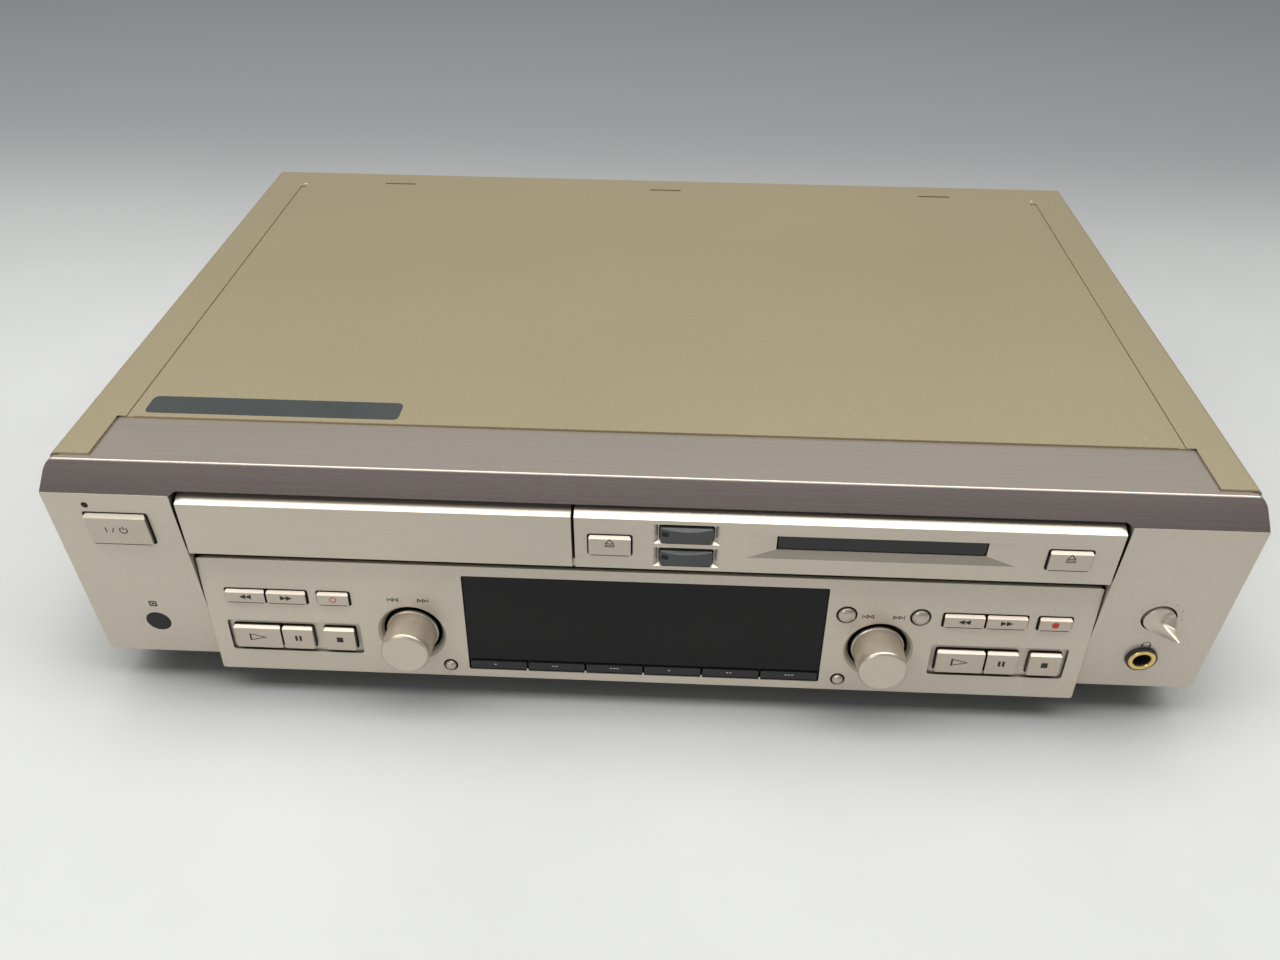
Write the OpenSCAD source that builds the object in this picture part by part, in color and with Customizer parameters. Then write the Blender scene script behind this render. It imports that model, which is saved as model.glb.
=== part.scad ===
// Minidisc deck with a compact disc drawer, a free-standing hi-fi separate.
// Millimetres. +X is right, +Y is back, +Z is up. The origin is on the floor,
// in the middle of the box around the whole deck.
// Inside the modules, y runs from the front face of the wings and z from the
// floor. A face's own frame has x right, y up the face and z out of it.

/* [Case] */
// Width of the deck across the front
body_w = 430; // [420:1:450]
// Height of the case from the chassis floor's underside to the cover's top
case_h = 95; // [94:0.5:104]
// Depth of the case from the front face to the back edge of the cover
case_d = 270; // [262:1:310]
// Thickness of the cover's sheet
cover_t = 0.9; // [0.6:0.1:1.4]
// Radius of the cover's long top edges
cover_r = 2.5; // [2:0.1:4]
// Thickness of the chassis and rear panel sheet
sheet_t = 1.2; // [0.8:0.1:1.6]
// Height of the feet
foot_h = 12; // [8:0.5:18]
// Radius of a foot
foot_r = 20; // [14:0.5:24]

/* [Front cap] */
// Height of the cap's sloping front band
cap_rise = 7.9; // [6:0.1:10]
// How far the band's top edge leans back
cap_lean = 10.1; // [8:0.1:10.4]
// Depth of the cap's bare top
cap_top_d = 35.6; // [30:0.2:42]
// Thickness of the cap's wall
cap_t = 2; // [1.5:0.1:3]
// Radius of the cap's upper corners, seen from the front
cap_r = 3.2; // [2.6:0.2:6]
// Width of the cover's strip beside the cap's bare top
strip_w = 14.6; // [10:0.2:20]

/* [Front panel] */
// Width of a wing, from the side of the deck to the opening
wing_w = 46.2; // [44:0.2:50]
// Depth of the front panel moulding
panel_d = 12; // [11:0.2:13]
// Wall of the front panel and of what is set in it
wall = 2.5; // [2:0.1:3]
// Height of the wings' lower edge above the chassis floor's underside
wing_lift = 4.9; // [3:0.1:7]
// Radius of the opening's upper corners
open_r = 3.2; // [2:0.1:4]
// Radius of the hole for the phones level knob
level_hole_r = 6.4; // [6.2:0.1:7.5]
// Radius of the remote control window
remote_r = 4.8; // [3:0.1:6]
// Radius of the standby lamp
lamp_r = 1.2; // [0.8:0.1:2]

/* [Upper row] */
// How far the drawer's door stands past each side of the tray
door_edge = 4.5; // [3:0.5:7]
// Gap between the door and the minidisc panel
door_gap = 1.1; // [0.6:0.1:1.6]
// Gap between the row and the sides of the opening
row_gap = 1.7; // [1:0.1:2]
// Height of the door and of the minidisc panel
row_h = 25.4; // [24:0.2:26]
// Lean of the row's face from upright, in degrees
row_tilt = 3; // [0:0.5:5]
// Width of the minidisc slot
slot_w = 74.4; // [73.6:0.2:77]
// Height of the minidisc slot
slot_h = 6.8; // [6.2:0.1:7.4]
// Thickness of the minidisc flap
flap_t = 1.2; // [0.8:0.1:1.6]

/* [Control plate] */
// Lean of the control plate from upright, in degrees
plate_tilt = 7.1; // [4:0.1:8]
// Gap between the display and the hole round a jog knob
display_gap = 8.9; // [7:0.1:12]
// Height of a display key
display_key_h = 4.4; // [3.6:0.1:5]
// Gap between the hole round a jog knob and the keys beside it
jog_gap = 9.5; // [7:0.1:12]
// Radius of the hole round a jog knob
jog_hole_r = 12.6; // [12:0.1:12.8]
// Radius of a jog knob at its foot
jog_r = 9.6; // [8.5:0.1:10]
// How far a jog knob stands out of the plate
jog_out = 12.5; // [9:0.1:16]
// Radius of a jog knob's shaft
jog_shaft_r = 3; // [2.5:0.1:3.2]
// Gap between the transport keys and the side of the plate
plate_margin = 8.2; // [5:0.1:12]
// Width of a joined pair of transport keys
pair_w = 31.6; // [29:0.2:32]
// Width of a single transport key
single_w = 12.7; // [11:0.1:13]
// Height of the small transport keys
small_key_h = 6.4; // [5:0.1:7]
// Height of the large transport keys
large_key_h = 11; // [9:0.1:12]
// How far a key stands out of its panel
key_out = 1.2; // [1:0.1:2]
// Gap all round a key
key_gap = 0.4; // [0.2:0.05:0.45]
// Travel of a key
key_travel = 1; // [0.5:0.1:1.1]

/* [Disc drawer] */
// Rim of the disc tray beside the well
tray_rim = 5.5; // [4:0.5:7]
// Thickness of the disc tray
tray_t = 9; // [8:0.1:10]
// Radius of the well for a 12 cm disc
disc_r = 60.5; // [60.2:0.1:61.5]
// Radius of the inner well for an 8 cm disc
small_disc_r = 40.6; // [40.2:0.1:42]
// Travel of the drawer
tray_travel = 140; // [130:1:142]
// Radius of the turntable
turntable_r = 15; // [13:0.2:16]
// Radius of the disc hub on the turntable
hub_r = 7.3; // [7:0.05:7.4]
// Travel of the optical pickup
pickup_travel = 35; // [30:1:36]
// Number of teeth on the drawer gear
gear_teeth = 16; // [14:1:18]
// Tooth size of the drawer gear: pitch diameter over teeth
gear_module = 1.25; // [1.1:0.05:1.3]

/* [Sockets] */
// Radius of the phones socket's bore
phones_bore_r = 3.2; // [3.18:0.01:3.3]
// Radius of a line socket's shell
line_shell_r = 4.15; // [4.05:0.05:4.3]
// How far a line socket stands out of the rear panel
line_out = 9; // [7:0.5:11]
// Radius of the cord hole in the mains bushing
gland_r = 3.6; // [3:0.1:4.5]

/* [Hidden] */
$fn = 48;
eps = 0.02;            // overlap of fused blocks
fit = 0.15;            // gap between sliding faces
run = 0.05;            // radial clearance of a shaft in its bore

// Levels and lines of the case
case_z = foot_h;
floor_z = case_z + sheet_t;
top_z = case_z + case_h;
cap_z = top_z - cover_t;
kink_z = cap_z - cap_rise;
wing_z = case_z + wing_lift;
half_w = body_w / 2;
open_half = half_w - wing_w;
wing_x = half_w - wing_w / 2;
cover_half = half_w - 0.5;
inner_half = cover_half - cover_t - 0.2;
cover_y = panel_d + 0.2;
cap_end = 2;           // thickness of the cap's end plates
cap_ledge = 5;         // how far the cap runs under the cover
rail_t = 2.5;          // thickness of the front panel's top rail
rail_z = kink_z - 0.2;
rail_back = cap_top_d - 2;
back_y = case_d - 1 - sheet_t;
chassis_y = panel_d + 0.6;
flange_h = 16;         // height of the chassis' side flanges
lip_h = 6;             // height of its front lip
lug_x = wing_x + 8;    // the front panel's lugs rest on that lip
bar_y0 = 4;            // bar that closes the gap between the row and the plate

// The control plate
side_gap = 0.4;        // from the plate to the sides of the opening
plate_half = open_half - side_gap;
plate_y = 2.3;
plate_z = kink_z - 31.5;
plate_h = (plate_z - case_z - 1.2) / cos(plate_tilt);
plate_return = 5;      // depth of the plate's edge behind its wall
board_gap = 12;        // from the plate's face to the front board
board_t = 1.6;
switch_h = 5;
post_r = 1.8;          // posts that carry the small boards
window_d = 4.5;        // from the plate's top edge down to the window
window_margin = 3.8;   // from the display keys down to the plate's lower edge
key_line = plate_h - window_margin - display_key_h / 2;
window_h = plate_h - window_d - window_margin - display_key_h - 0.3;
window_sink = 0.9;
recess_h = large_key_h + 3.8;
large_row = plate_h - 17.2;    // rows and centres, down from the plate's top edge
small_row = 0.58 * (large_row - recess_h / 2);
jog_row = plate_h - 20.8;
round_row = jog_row - 16.8;
clear_row = plate_h - 5.5;
post_row = 0.47 * (small_row - small_key_h / 2);
recess_t = 1.1;
recess_side = 2;
key_step = 3.7;        // gap between the pair and the single key
play_w = 19;           // width of the play key inside its pair
round_off = 13.8;      // menu and yes keys, from the jog's centre
clear_off = 13.9;      // clear key, from the jog's centre
round_r = 3.7;
clear_r = 2.6;
key_slope = 35;        // lean of a key's top edge, in degrees from the face's normal
group_w = pair_w + key_step + single_w;
group_x = plate_half - plate_margin - group_w;
post_x = group_x + group_w / 2;
plate_posts = [for (x = [-post_x, post_x], v = [post_row, plate_h - 6.1]) [x, v]];
jog_x = group_x - jog_gap - jog_hole_r;
display_half = jog_x - jog_hole_r - display_gap;
jog_flange_r = jog_r + 0.5;
jog_dish = 1.2;        // how much the hole round a jog knob narrows inwards
jog_face_r = jog_r - 1.1;
rotor_r = 5.5;
rotor_t = 4;

// The upper row
tray_w = 2 * (disc_r + tray_rim);
door_w = tray_w + 2 * door_edge;
row_y = -0.8;
row_z = kink_z - 3;
chamfer_y = 3.8;       // how far the row's bright chamfer leans back
chamfer_z = 1.9;
row_d = 9.5;           // depth of the row's mouldings
door_x = -(open_half - row_gap) + door_w / 2;
door_bottom = row_z - (row_h - 3) * cos(row_tilt) - 0.7;
md_left = door_x + door_w / 2 + door_gap;
md_right = open_half - row_gap;
slot_d = 8.8;          // down the row's face to the slot's centre
slot_z = row_z - slot_d;
slot_top = slot_z + slot_h / 2;
shelf_side = 10.6;     // the slot's sloped recess beside it
shelf_drop = 3.3;      // and below it
shelf_sink = 1.2;      // depth of the recess at the slot's edge
flap_y = row_y - slot_d * sin(row_tilt) + shelf_sink + 0.1;
flap_pin_r = 0.8;
flap_pin_y = flap_y + 1;
flap_pin_z = slot_top + 0.6;   // above the slot, so that the open flap leaves it free
flap_low = slot_z - slot_h / 2 + 0.3;
flap_pocket = flap_pin_r + 0.4;
eject_x = md_right - 17.1;
panel_posts = [md_left + 23.5, md_right - 5.1];
open_close_x = md_left + 12.6;
panel_key_w = 15.8;
panel_key_h = 9.1;
panel_key_d = 11.6;
sync_x = md_left + 39.9;
sync_w = 19.8;
slot_x = (sync_x + sync_w / 2 + eject_x - panel_key_w / 2) / 2 + 0.65;
sync_h = 6.8;
sync_rows = [6, 16.4];
sync_sink = 1.2;
sync_out = 1.3;        // how far the middle of a sync key's bowed face stands out
sync_rise = 1.2;       // from its ends to its middle
sync_bow_r = (sync_w * sync_w / 4 + sync_rise * sync_rise) / (2 * sync_rise);
panel_board_gap = 11;

// The wings
power_x = 1.3 - wing_x;
power_z = kink_z - 15.7;
power_w = 23.2;
power_h = 14.2;
power_out = 1.6;
power_travel = 2;
wing_board_gap = 11;
lamp_at = [-wing_x - 8.4, kink_z - 5.3];
remote_at = [1.2 - wing_x, wing_z + 16.9];
level_at = [wing_x - 1.1, wing_z + 37.7];
level_r = level_hole_r - 0.7;
level_low = 0.9;        // the knob's disc, in front of the wing
level_out = 9.8;        // the tip of its blade
level_turn = -29;       // where the tip points, in degrees from the right
blade_t = 2.4;
level_shaft_r = 3;
jack_at = [wing_x - 1.3, wing_z + 16.4];
jack_nut_r = 5.7;
jack_hole_r = 4.8;
jack_depth = 30;

// The disc drawer and its loader
tray_z = row_z - 15.2;
tray_top = tray_z + tray_t;
gear_y = 30;
disc_y = 75;
tray_back = gear_y + tray_travel + 8;
well_z = tray_top - 5.5;
small_well_z = well_z - 1.6;
tunnel_half = turntable_r + 3;
loader_t = 2.5;
loader_gap = 0.5;
loader_in = tray_w / 2 + loader_gap;
loader_y0 = 15;
loader_y1 = 185;
loader_top = tray_top + 5.5;
ledge_w = 3.5;
bridge_w = 34;
bridge_t = 2.5;
base_hinge = [165, tray_z - 11];
base_pin_r = 2;
base_half = 31;
base_t = 2;
base_y0 = 48;
spindle_shaft_r = 1;
motor_r = 12;
clamp_r = 12;
clamp_lip = 3;
rod_x = 17;
rod_r = 1.5;
pickup_y = disc_y + 23;
gear_r = gear_module * gear_teeth / 2;
gear_pitch = PI * gear_module;
gear_at = [door_x + loader_in - 20.5, gear_y];
gear_z = tray_z - 7;
gear_t = 4.5;
tooth_share = 0.4;     // tooth thickness at the pitch line, of the pitch
rack_x = gear_at[0] - gear_r;

// The minidisc unit
md_y0 = 14;
md_y1 = 120;
holder_t = 0.8;
holder_in = [slot_w - 0.4, 92, slot_h - 0.4];
holder_travel = 4;
md_side = holder_in[0] / 2 + holder_t + 0.4;

// The back
line_at = [for (x = [40, 62], z = [24, 43]) [x, floor_z + z]];
vent_x = door_x - 13;
gland_at = [50 - half_w, floor_z + 22];
foot_at = [for (x = [-1, 1], y = [45, case_d - 38]) [x * (half_w - 52), y]];
slot_cut = [16.7, 1.5];
bead_x = half_w - 19.9;
bead_w = 2.9;
bead_h = 0.35;

// The whole deck's middle, so that the origin is in the middle of its box
front_reach = (jog_row + jog_face_r) * sin(plate_tilt) + jog_out * cos(plate_tilt) - plate_y;
middle_y = (case_d - 1 + line_out - front_reach) / 2;

// Keys: name, centre from the middle, centre down the face, width, height
function group_keys(side, x0) = [
    [str(side, "_rewind_key"), x0 + pair_w / 4, small_row, pair_w / 2, small_key_h],
    [str(side, "_forward_key"), x0 + pair_w * 3 / 4, small_row, pair_w / 2, small_key_h],
    [str(side, "_record_key"), x0 + group_w - single_w / 2, small_row, single_w, small_key_h],
    [str(side, "_play_key"), x0 + play_w / 2, large_row, play_w, large_key_h],
    [str(side, "_pause_key"), x0 + (play_w + pair_w) / 2, large_row, pair_w - play_w, large_key_h],
    [str(side, "_stop_key"), x0 + group_w - single_w / 2, large_row, single_w, large_key_h],
];
cd_keys = group_keys("cd", -group_x - group_w);
md_keys = group_keys("md", group_x);
transport_keys = concat(cd_keys, md_keys);
round_keys = [
    ["menu_key", jog_x - round_off, round_row, round_r],
    ["yes_key", jog_x + round_off, round_row, round_r],
    ["cd_clear_key", -jog_x + clear_off, clear_row, clear_r],
    ["md_clear_key", jog_x - clear_off, clear_row, clear_r],
];
display_key_w = 2 * display_half / 6;
display_keys = [for (i = [0:5])
    [str("display_key_", i + 1), -display_half + display_key_w * (i + 0.5), key_line]];
panel_keys = [
    ["open_close_key", open_close_x, panel_key_d, panel_key_w, panel_key_h],
    ["eject_key", eject_x, panel_key_d, panel_key_w, panel_key_h],
];
sync_keys = [
    ["sync_normal_key", sync_x, sync_rows[0], sync_w, sync_h],
    ["sync_high_key", sync_x, sync_rows[1], sync_w, sync_h],
];
jogs = [["cd_jog", -jog_x], ["md_jog", jog_x]];

// ---- helpers ----

// An outline in y and z, run along x
module along_x(x0, x1) {
    translate([x0, 0, 0]) rotate([90, 0, 90]) linear_extrude(x1 - x0) children();
}

// An outline in x and z, run along y
module along_y(y0, y1) {
    translate([0, y1, 0]) rotate([90, 0, 0]) linear_extrude(y1 - y0) children();
}

// A block between two corners
module block(a, b) {
    translate(a) cube(b - a);
}

// The children, and their mirror image on the other side
module both_sides() {
    for (s = [0, 1]) mirror([s, 0, 0]) children();
}

// A round bar along y
module bar_y(x, z, y0, y1, r) {
    translate([x, y1, z]) rotate([90, 0, 0]) cylinder(r = r, h = y1 - y0);
}

// A rounded rectangle about the origin
module rounded(w, h, r) {
    square([w - 2 * r, h], center = true);
    square([w, h - 2 * r], center = true);
    for (x = [-1, 1], y = [-1, 1])
        translate([x * (w / 2 - r), y * (h / 2 - r)]) circle(r);
}

// A face's own frame
module on_plate() {
    translate([0, plate_y, plate_z]) rotate([90 - plate_tilt, 0, 0]) children();
}
module on_row() {
    translate([0, row_y, row_z]) rotate([90 - row_tilt, 0, 0]) children();
}
module on_wing() {
    rotate([90, 0, 0]) children();
}

// The opening between the wings, seen from the front
module opening(half) {
    top = kink_z + 1.1;
    translate([-half, 0]) square([2 * half, top - open_r]);
    translate([-half + open_r, 0]) square([2 * (half - open_r), top]);
    for (s = [-1, 1]) translate([s * (half - open_r), top - open_r]) circle(open_r);
}

// A key: its cap through the wall, with a sloping top edge, a tab that keeps it in,
// and a stem to its switch
module key(w, h, r, out, tab_up, tab_down, gap = board_gap, travel = key_travel, sink = 0) {
    back = wall + sink + fit;
    tab = 1;
    difference() {
        translate([0, 0, -back]) linear_extrude(back + out) rounded(w - 2 * key_gap, h - 2 * key_gap, r);
        if (out > 0) translate([-w, h / 2 - key_gap, 0]) rotate([key_slope, 0, 0]) cube([2 * w, 9, 9]);
    }
    translate([0, 0, -back - tab]) linear_extrude(tab + eps)
        translate([-w / 2 + key_gap, -h / 2 - tab_down])
            square([w - 2 * key_gap, h + tab_up + tab_down]);
    stem = gap - switch_h - travel - fit;
    translate([-1.5, -1.5, -stem]) cube([3, 3, stem - back]);
}

// A switch on a board behind a key
module switch(gap, half = 3) {
    translate([-half, -half, -gap - eps]) cube([2 * half, 2 * half, switch_h + eps]);
}

// ---- case ----

module cover_outline(half, z0, z1, r) {
    translate([-half, z0]) square([2 * half, z1 - z0 - r]);
    translate([-half + r, z0]) square([2 * (half - r), z1 - z0]);
    for (s = [-1, 1]) translate([s * (half - r), z1 - r]) circle(r);
}

module top_cover() color([0.64, 0.59, 0.46]) {
    low = case_z + 1;
    difference() {
        union() {
            along_y(cover_y, case_d) difference() {
                cover_outline(cover_half, low, top_z, cover_r);
                cover_outline(cover_half - cover_t, low - 1, cap_z, cover_r - cover_t);
            }
            for (s = [-1, 1]) translate([s * bead_x, 0, 0])
                block([-bead_w / 2 - 0.4, cap_top_d + cap_ledge + 1, cap_z - bead_h],
                      [bead_w / 2 + 0.4, case_d - 18, cap_z + eps]);
        }
        block([-half_w + strip_w + 0.5, 0, cap_z - 5], [half_w - strip_w - 0.5, cap_top_d, top_z + 1]);
        for (s = [-1, 1]) translate([s * bead_x, 0, 0])
            block([-bead_w / 2, cap_top_d - 1, top_z - bead_h], [bead_w / 2, case_d - 19, top_z + 1]);
        for (i = [-1:1]) translate([i * (half_w - 71.2), case_d - 12.4, cap_z])
            translate([0, 0, -1]) linear_extrude(5) rounded(slot_cut[0], slot_cut[1], slot_cut[1] / 2 - 0.01);
        for (s = [-1, 1], y = side_screws) translate([s * half_w, y, side_screw_z])
            rotate([0, 90, 0]) cylinder(r = screw_r + 0.2, h = 8, center = true);
    }
    for (s = [-1, 1]) translate([s * bead_x, case_d - 14.5, top_z - eps]) cylinder(r1 = 1.5, r2 = 1, h = 0.4);
}

module cap_band() {
    polygon([[0, kink_z], [cap_lean, cap_z], [panel_d, cap_z], [panel_d, cap_z - cap_t],
             [cap_lean + 0.9, cap_z - cap_t], [cap_t * 1.3, kink_z]]);
}

module front_cap() color([0.60, 0.56, 0.54]) {
    difference() {
        intersection() {
            union() {
                along_x(-half_w, half_w) cap_band();
                for (x = [-half_w, half_w - cap_end]) along_x(x, x + cap_end)
                    polygon([[0, kink_z], [cap_lean, cap_z], [panel_d, cap_z], [panel_d, kink_z]]);
            }
            along_y(-1, panel_d + 1) cover_outline(half_w, kink_z, cap_z, cap_r);
        }
        along_y(-1, panel_d - 3) opening(open_half);
    }
    block([-inner_half + cover_r, panel_d - eps, cap_z - cap_t],
          [inner_half - cover_r, cap_top_d + cap_ledge, cap_z]);
}

module front_panel() color([0.71, 0.67, 0.61]) {
    side = half_w - wall;
    top = kink_z;
    difference() {
        union() {
            along_y(0, wall) for (s = [-1, 1]) translate([s * (open_half + half_w) / 2, (wing_z + top) / 2])
                difference() {
                    square([half_w - open_half, top - wing_z], center = true);
                    translate([s * ((half_w - open_half) / 2 - 2), -(top - wing_z) / 2 + 2])
                        difference() {
                            translate([-2 + s * 2, -4]) square([4, 4]);
                            circle(2);
                        }
                }
            for (s = [-1, 1]) {
                along_y(0, panel_d) translate([s * (side + wall / 2), (wing_z + 2 + top) / 2])
                    square([wall, top - wing_z - 2], center = true);
                along_y(0, panel_d) translate([s * (open_half + wall / 2), (wing_z + top) / 2])
                    square([wall, top - wing_z], center = true);
                along_y(0, panel_d) translate([s * (open_half + side) / 2, wing_z + wall / 2])
                    square([side - open_half, wall], center = true);
                block([s * lug_x - 6, panel_d - wall, wing_z], [s * lug_x + 6, panel_d, floor_z + lip_h + 3]);
                block([s * lug_x - 6, panel_d - wall, floor_z + lip_h],
                      [s * lug_x + 6, chassis_y + 8, floor_z + lip_h + 3]);
            }
            block([-half_w + cap_end + 0.3, cap_lean + 0.9, rail_z],
                  [half_w - cap_end - 0.3, panel_d + 1, cap_z - cap_t]);
            block([-open_half - wall, bar_y0, plate_z + 0.6],
                  [open_half + wall, panel_d - 1, door_bottom - 0.6]);
            block([-inner_half + 0.5, panel_d - eps, cap_z - cap_t - rail_t],
                  [inner_half - 0.5, rail_back, cap_z - cap_t]);
            block([-open_half - wall, panel_d - 1, wing_z], [open_half + wall, panel_d, wing_z + 3]);
        }
        on_wing() {
            translate([power_x, power_z, -wall - 1]) linear_extrude(wall + 2) rounded(power_w, power_h, 1);
            translate([lamp_at[0], lamp_at[1], -wall - 1]) cylinder(r = lamp_r, h = wall + 2);
            translate([remote_at[0], remote_at[1], -wall - 1]) cylinder(r = remote_r, h = wall + 2);
            translate([level_at[0], level_at[1], -wall - 1]) cylinder(r = level_hole_r, h = wall + 2);
            translate([jack_at[0], jack_at[1], -wall - 1]) cylinder(r = jack_hole_r, h = wall + 2);
        }
    }
}

module chassis() color([0.62, 0.63, 0.64]) {
    x = inner_half;
    difference() {
        union() {
            block([-x, chassis_y, case_z], [x, back_y, floor_z]);
            both_sides() block([x - sheet_t, chassis_y, case_z], [x, back_y, floor_z + flange_h]);
            block([-x, chassis_y, case_z], [x, chassis_y + sheet_t, floor_z + lip_h]);
            block([-x, back_y - sheet_t, case_z], [x, back_y, floor_z + 10]);
            for (p = board_posts) translate([p[0], p[1], floor_z - eps]) cylinder(r = 3.5, h = post_h + eps);
        }
        for (s = [-1, 1], y = side_screws) translate([s * half_w, y, side_screw_z])
            rotate([0, 90, 0]) cylinder(r = screw_r + 0.2, h = 12, center = true);
        for (x = rear_screws) bar_y(x, floor_z + 5.5, back_y - 5, back_y + 5, screw_r + 0.2);
        for (p = foot_at) translate([p[0], p[1], case_z - 1]) cylinder(r = screw_r + 0.3, h = 5);
        for (x = [-40, inner_half - 63.4], y = [60:12:120])
            block([x, y, case_z - 1], [x + 30, y + 4, floor_z + 1]);
    }
}

side_screws = [case_d * 0.3, case_d * 0.85];
side_screw_z = floor_z + 9;
screw_r = 1.5;
rear_screws = [for (i = [-1:1]) i * (half_w - 95)];
post_h = 8;
board_at = [[door_x + loader_in + 0.6, 130], [inner_half - 13.4, case_d - 12]];
board_posts = [for (x = [board_at[0][0] + 5, board_at[1][0] - 5],
                    y = [board_at[0][1] + 5, board_at[1][1] - 5]) [x, y]];

module rear_panel() color([0.64, 0.59, 0.46]) {
    difference() {
        along_y(back_y, back_y + sheet_t) cover_outline(inner_half, case_z, cap_z - 0.2, cover_r);
        for (p = line_at) bar_y(p[0], p[1], back_y - 1, case_d, line_shell_r + 1.05);
        bar_y(gland_at[0], gland_at[1], back_y - 1, case_d, gland_r + 3);
        for (x = rear_screws) bar_y(x, floor_z + 5.5, back_y - 1, case_d, screw_r + 0.2);
        for (x = optical_at)
            block([x, back_y - 1, optical_z], [x + optical_w, case_d, optical_z + optical_w]);
        for (i = [0:7]) along_y(back_y - 1, case_d) translate([vent_x + i * 9, floor_z + 62])
            rounded(3, 30, 1.49);
    }
}
optical_w = 10;
optical_at = [board_at[1][0] - 110, board_at[1][0] - 94];
optical_z = floor_z + post_h + board_t + 3;

module feet() color([0.16, 0.16, 0.17]) {
    for (p = foot_at) translate([p[0], p[1], 0]) difference() {
        rotate_extrude()
            polygon([[0, 1.5], [foot_r - 7, 1.5], [foot_r - 6, 0], [foot_r - 3, 0], [foot_r - 2, 1],
                     [foot_r, foot_h - 1], [foot_r - 0.6, foot_h], [0, foot_h]]);
        translate([0, 0, -1]) cylinder(r = 5, h = foot_h - 3);
    }
}

// A screw along +z, with its head's underside at the origin
module screw(head_r, head_h, length) {
    difference() {
        cylinder(r = head_r, h = head_h);
        for (a = [0, 90]) rotate([0, 0, a])
            translate([-head_r * 0.6, -0.4, head_h * 0.4]) cube([head_r * 1.2, 0.8, head_h]);
    }
    translate([0, 0, -length]) cylinder(r = screw_r, h = length + eps);
}

module screws() color([0.2, 0.2, 0.21]) {
    for (s = [-1, 1], y = side_screws) translate([s * cover_half, y, side_screw_z])
        rotate([0, s * 90, 0]) screw(3.6, 0.5, 6);
    for (x = rear_screws) translate([x, back_y + sheet_t, floor_z + 5.5]) rotate([-90, 0, 0]) screw(3, 2, 6);
}

// ---- front pieces ----

module recess_outline() {
    for (x0 = [-group_x - group_w, group_x])
        translate([x0 + group_w / 2, -large_row]) rounded(group_w + 2 * recess_side, recess_h, 1.2);
}

module control_plate() color([0.71, 0.67, 0.61]) {
    back = wall + plate_return;
    on_plate() {
        difference() {
            translate([0, -plate_h / 2, 0]) difference() {
                translate([0, 0, -back]) linear_extrude(back) rounded(2 * plate_half, plate_h, 1);
                translate([0, 0, -back - 1]) linear_extrude(plate_return + 1)
                    square([2 * plate_half - 3.6, plate_h - 3.6], center = true);
            }
            translate([0, 0, -recess_t]) linear_extrude(recess_t + 1) recess_outline();
            for (k = transport_keys) translate([k[1], -k[2], -back]) linear_extrude(back + 1)
                rounded(k[3] + eps, k[4], 0.8);
            for (x0 = [-group_x - group_w, group_x]) {
                translate([x0 + pair_w / 2, -small_row, -back]) linear_extrude(back + 1)
                    square([pair_w - 4, small_key_h], center = true);
                translate([x0 + pair_w / 2, -large_row, -back]) linear_extrude(back + 1)
                    square([pair_w - 4, large_key_h], center = true);
            }
            for (k = round_keys) translate([k[1], -k[2], -back]) cylinder(r = k[3], h = back + 1);
            for (j = jogs) translate([j[1], -jog_row, 0]) {
                translate([0, 0, -back]) cylinder(r = jog_hole_r - jog_dish, h = back + 1);
                translate([0, 0, -wall - eps])
                    cylinder(r1 = jog_hole_r - jog_dish, r2 = jog_hole_r, h = wall - 0.6);
                translate([0, 0, -0.7]) cylinder(r1 = jog_hole_r, r2 = jog_hole_r + 0.7, h = 0.71);
            }
            translate([0, -(window_d + plate_h - window_margin) / 2, -back]) linear_extrude(back + 1)
                rounded(2 * display_half + 0.6, plate_h - window_d - window_margin + 0.3, 0.8);
        }
        for (s = [-1, 1], v = [0.25, 0.75])
            translate([s * (open_half - side_gap / 2 - eps), -plate_h * v, 1.5 - back])
                cube([side_gap + 2 * eps, 6, 3], center = true);
        for (p = plate_posts) translate([p[0], -p[1], -board_gap])
            cylinder(r = post_r, h = board_gap - wall + eps);
    }
}

module row_outline() {
    lean = (row_h - 3) * sin(row_tilt);
    low = row_z - (row_h - 3) * cos(row_tilt);
    polygon([[row_y + chamfer_y, row_z + chamfer_z], [row_y, row_z], [row_y - lean, low],
             [row_y - lean + 0.8, door_bottom], [row_d, door_bottom], [row_d, door_bottom + 1.8],
             [row_y - lean + wall, door_bottom + 1.8], [row_y + wall, row_z - 1.2],
             [row_y + chamfer_y + 0.6, row_z + chamfer_z - 2], [row_d, row_z + chamfer_z - 2],
             [row_d, row_z + chamfer_z]]);
}

module row_end() {
    lean = (row_h - 3) * sin(row_tilt);
    low = row_z - (row_h - 3) * cos(row_tilt);
    polygon([[row_y + chamfer_y, row_z + chamfer_z], [row_y, row_z], [row_y - lean, low],
             [row_y - lean + 0.8, door_bottom], [row_d, door_bottom], [row_d, row_z + chamfer_z]]);
}

// A cut that narrows from a wide rectangle on the face to a smaller one behind it
module funnel(wide, narrow, shift, depth) {
    hull() {
        translate([0, shift, 0]) linear_extrude(2) square(wide, center = true);
        translate([0, 0, -depth]) linear_extrude(0.1) square(narrow, center = true);
    }
}

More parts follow.
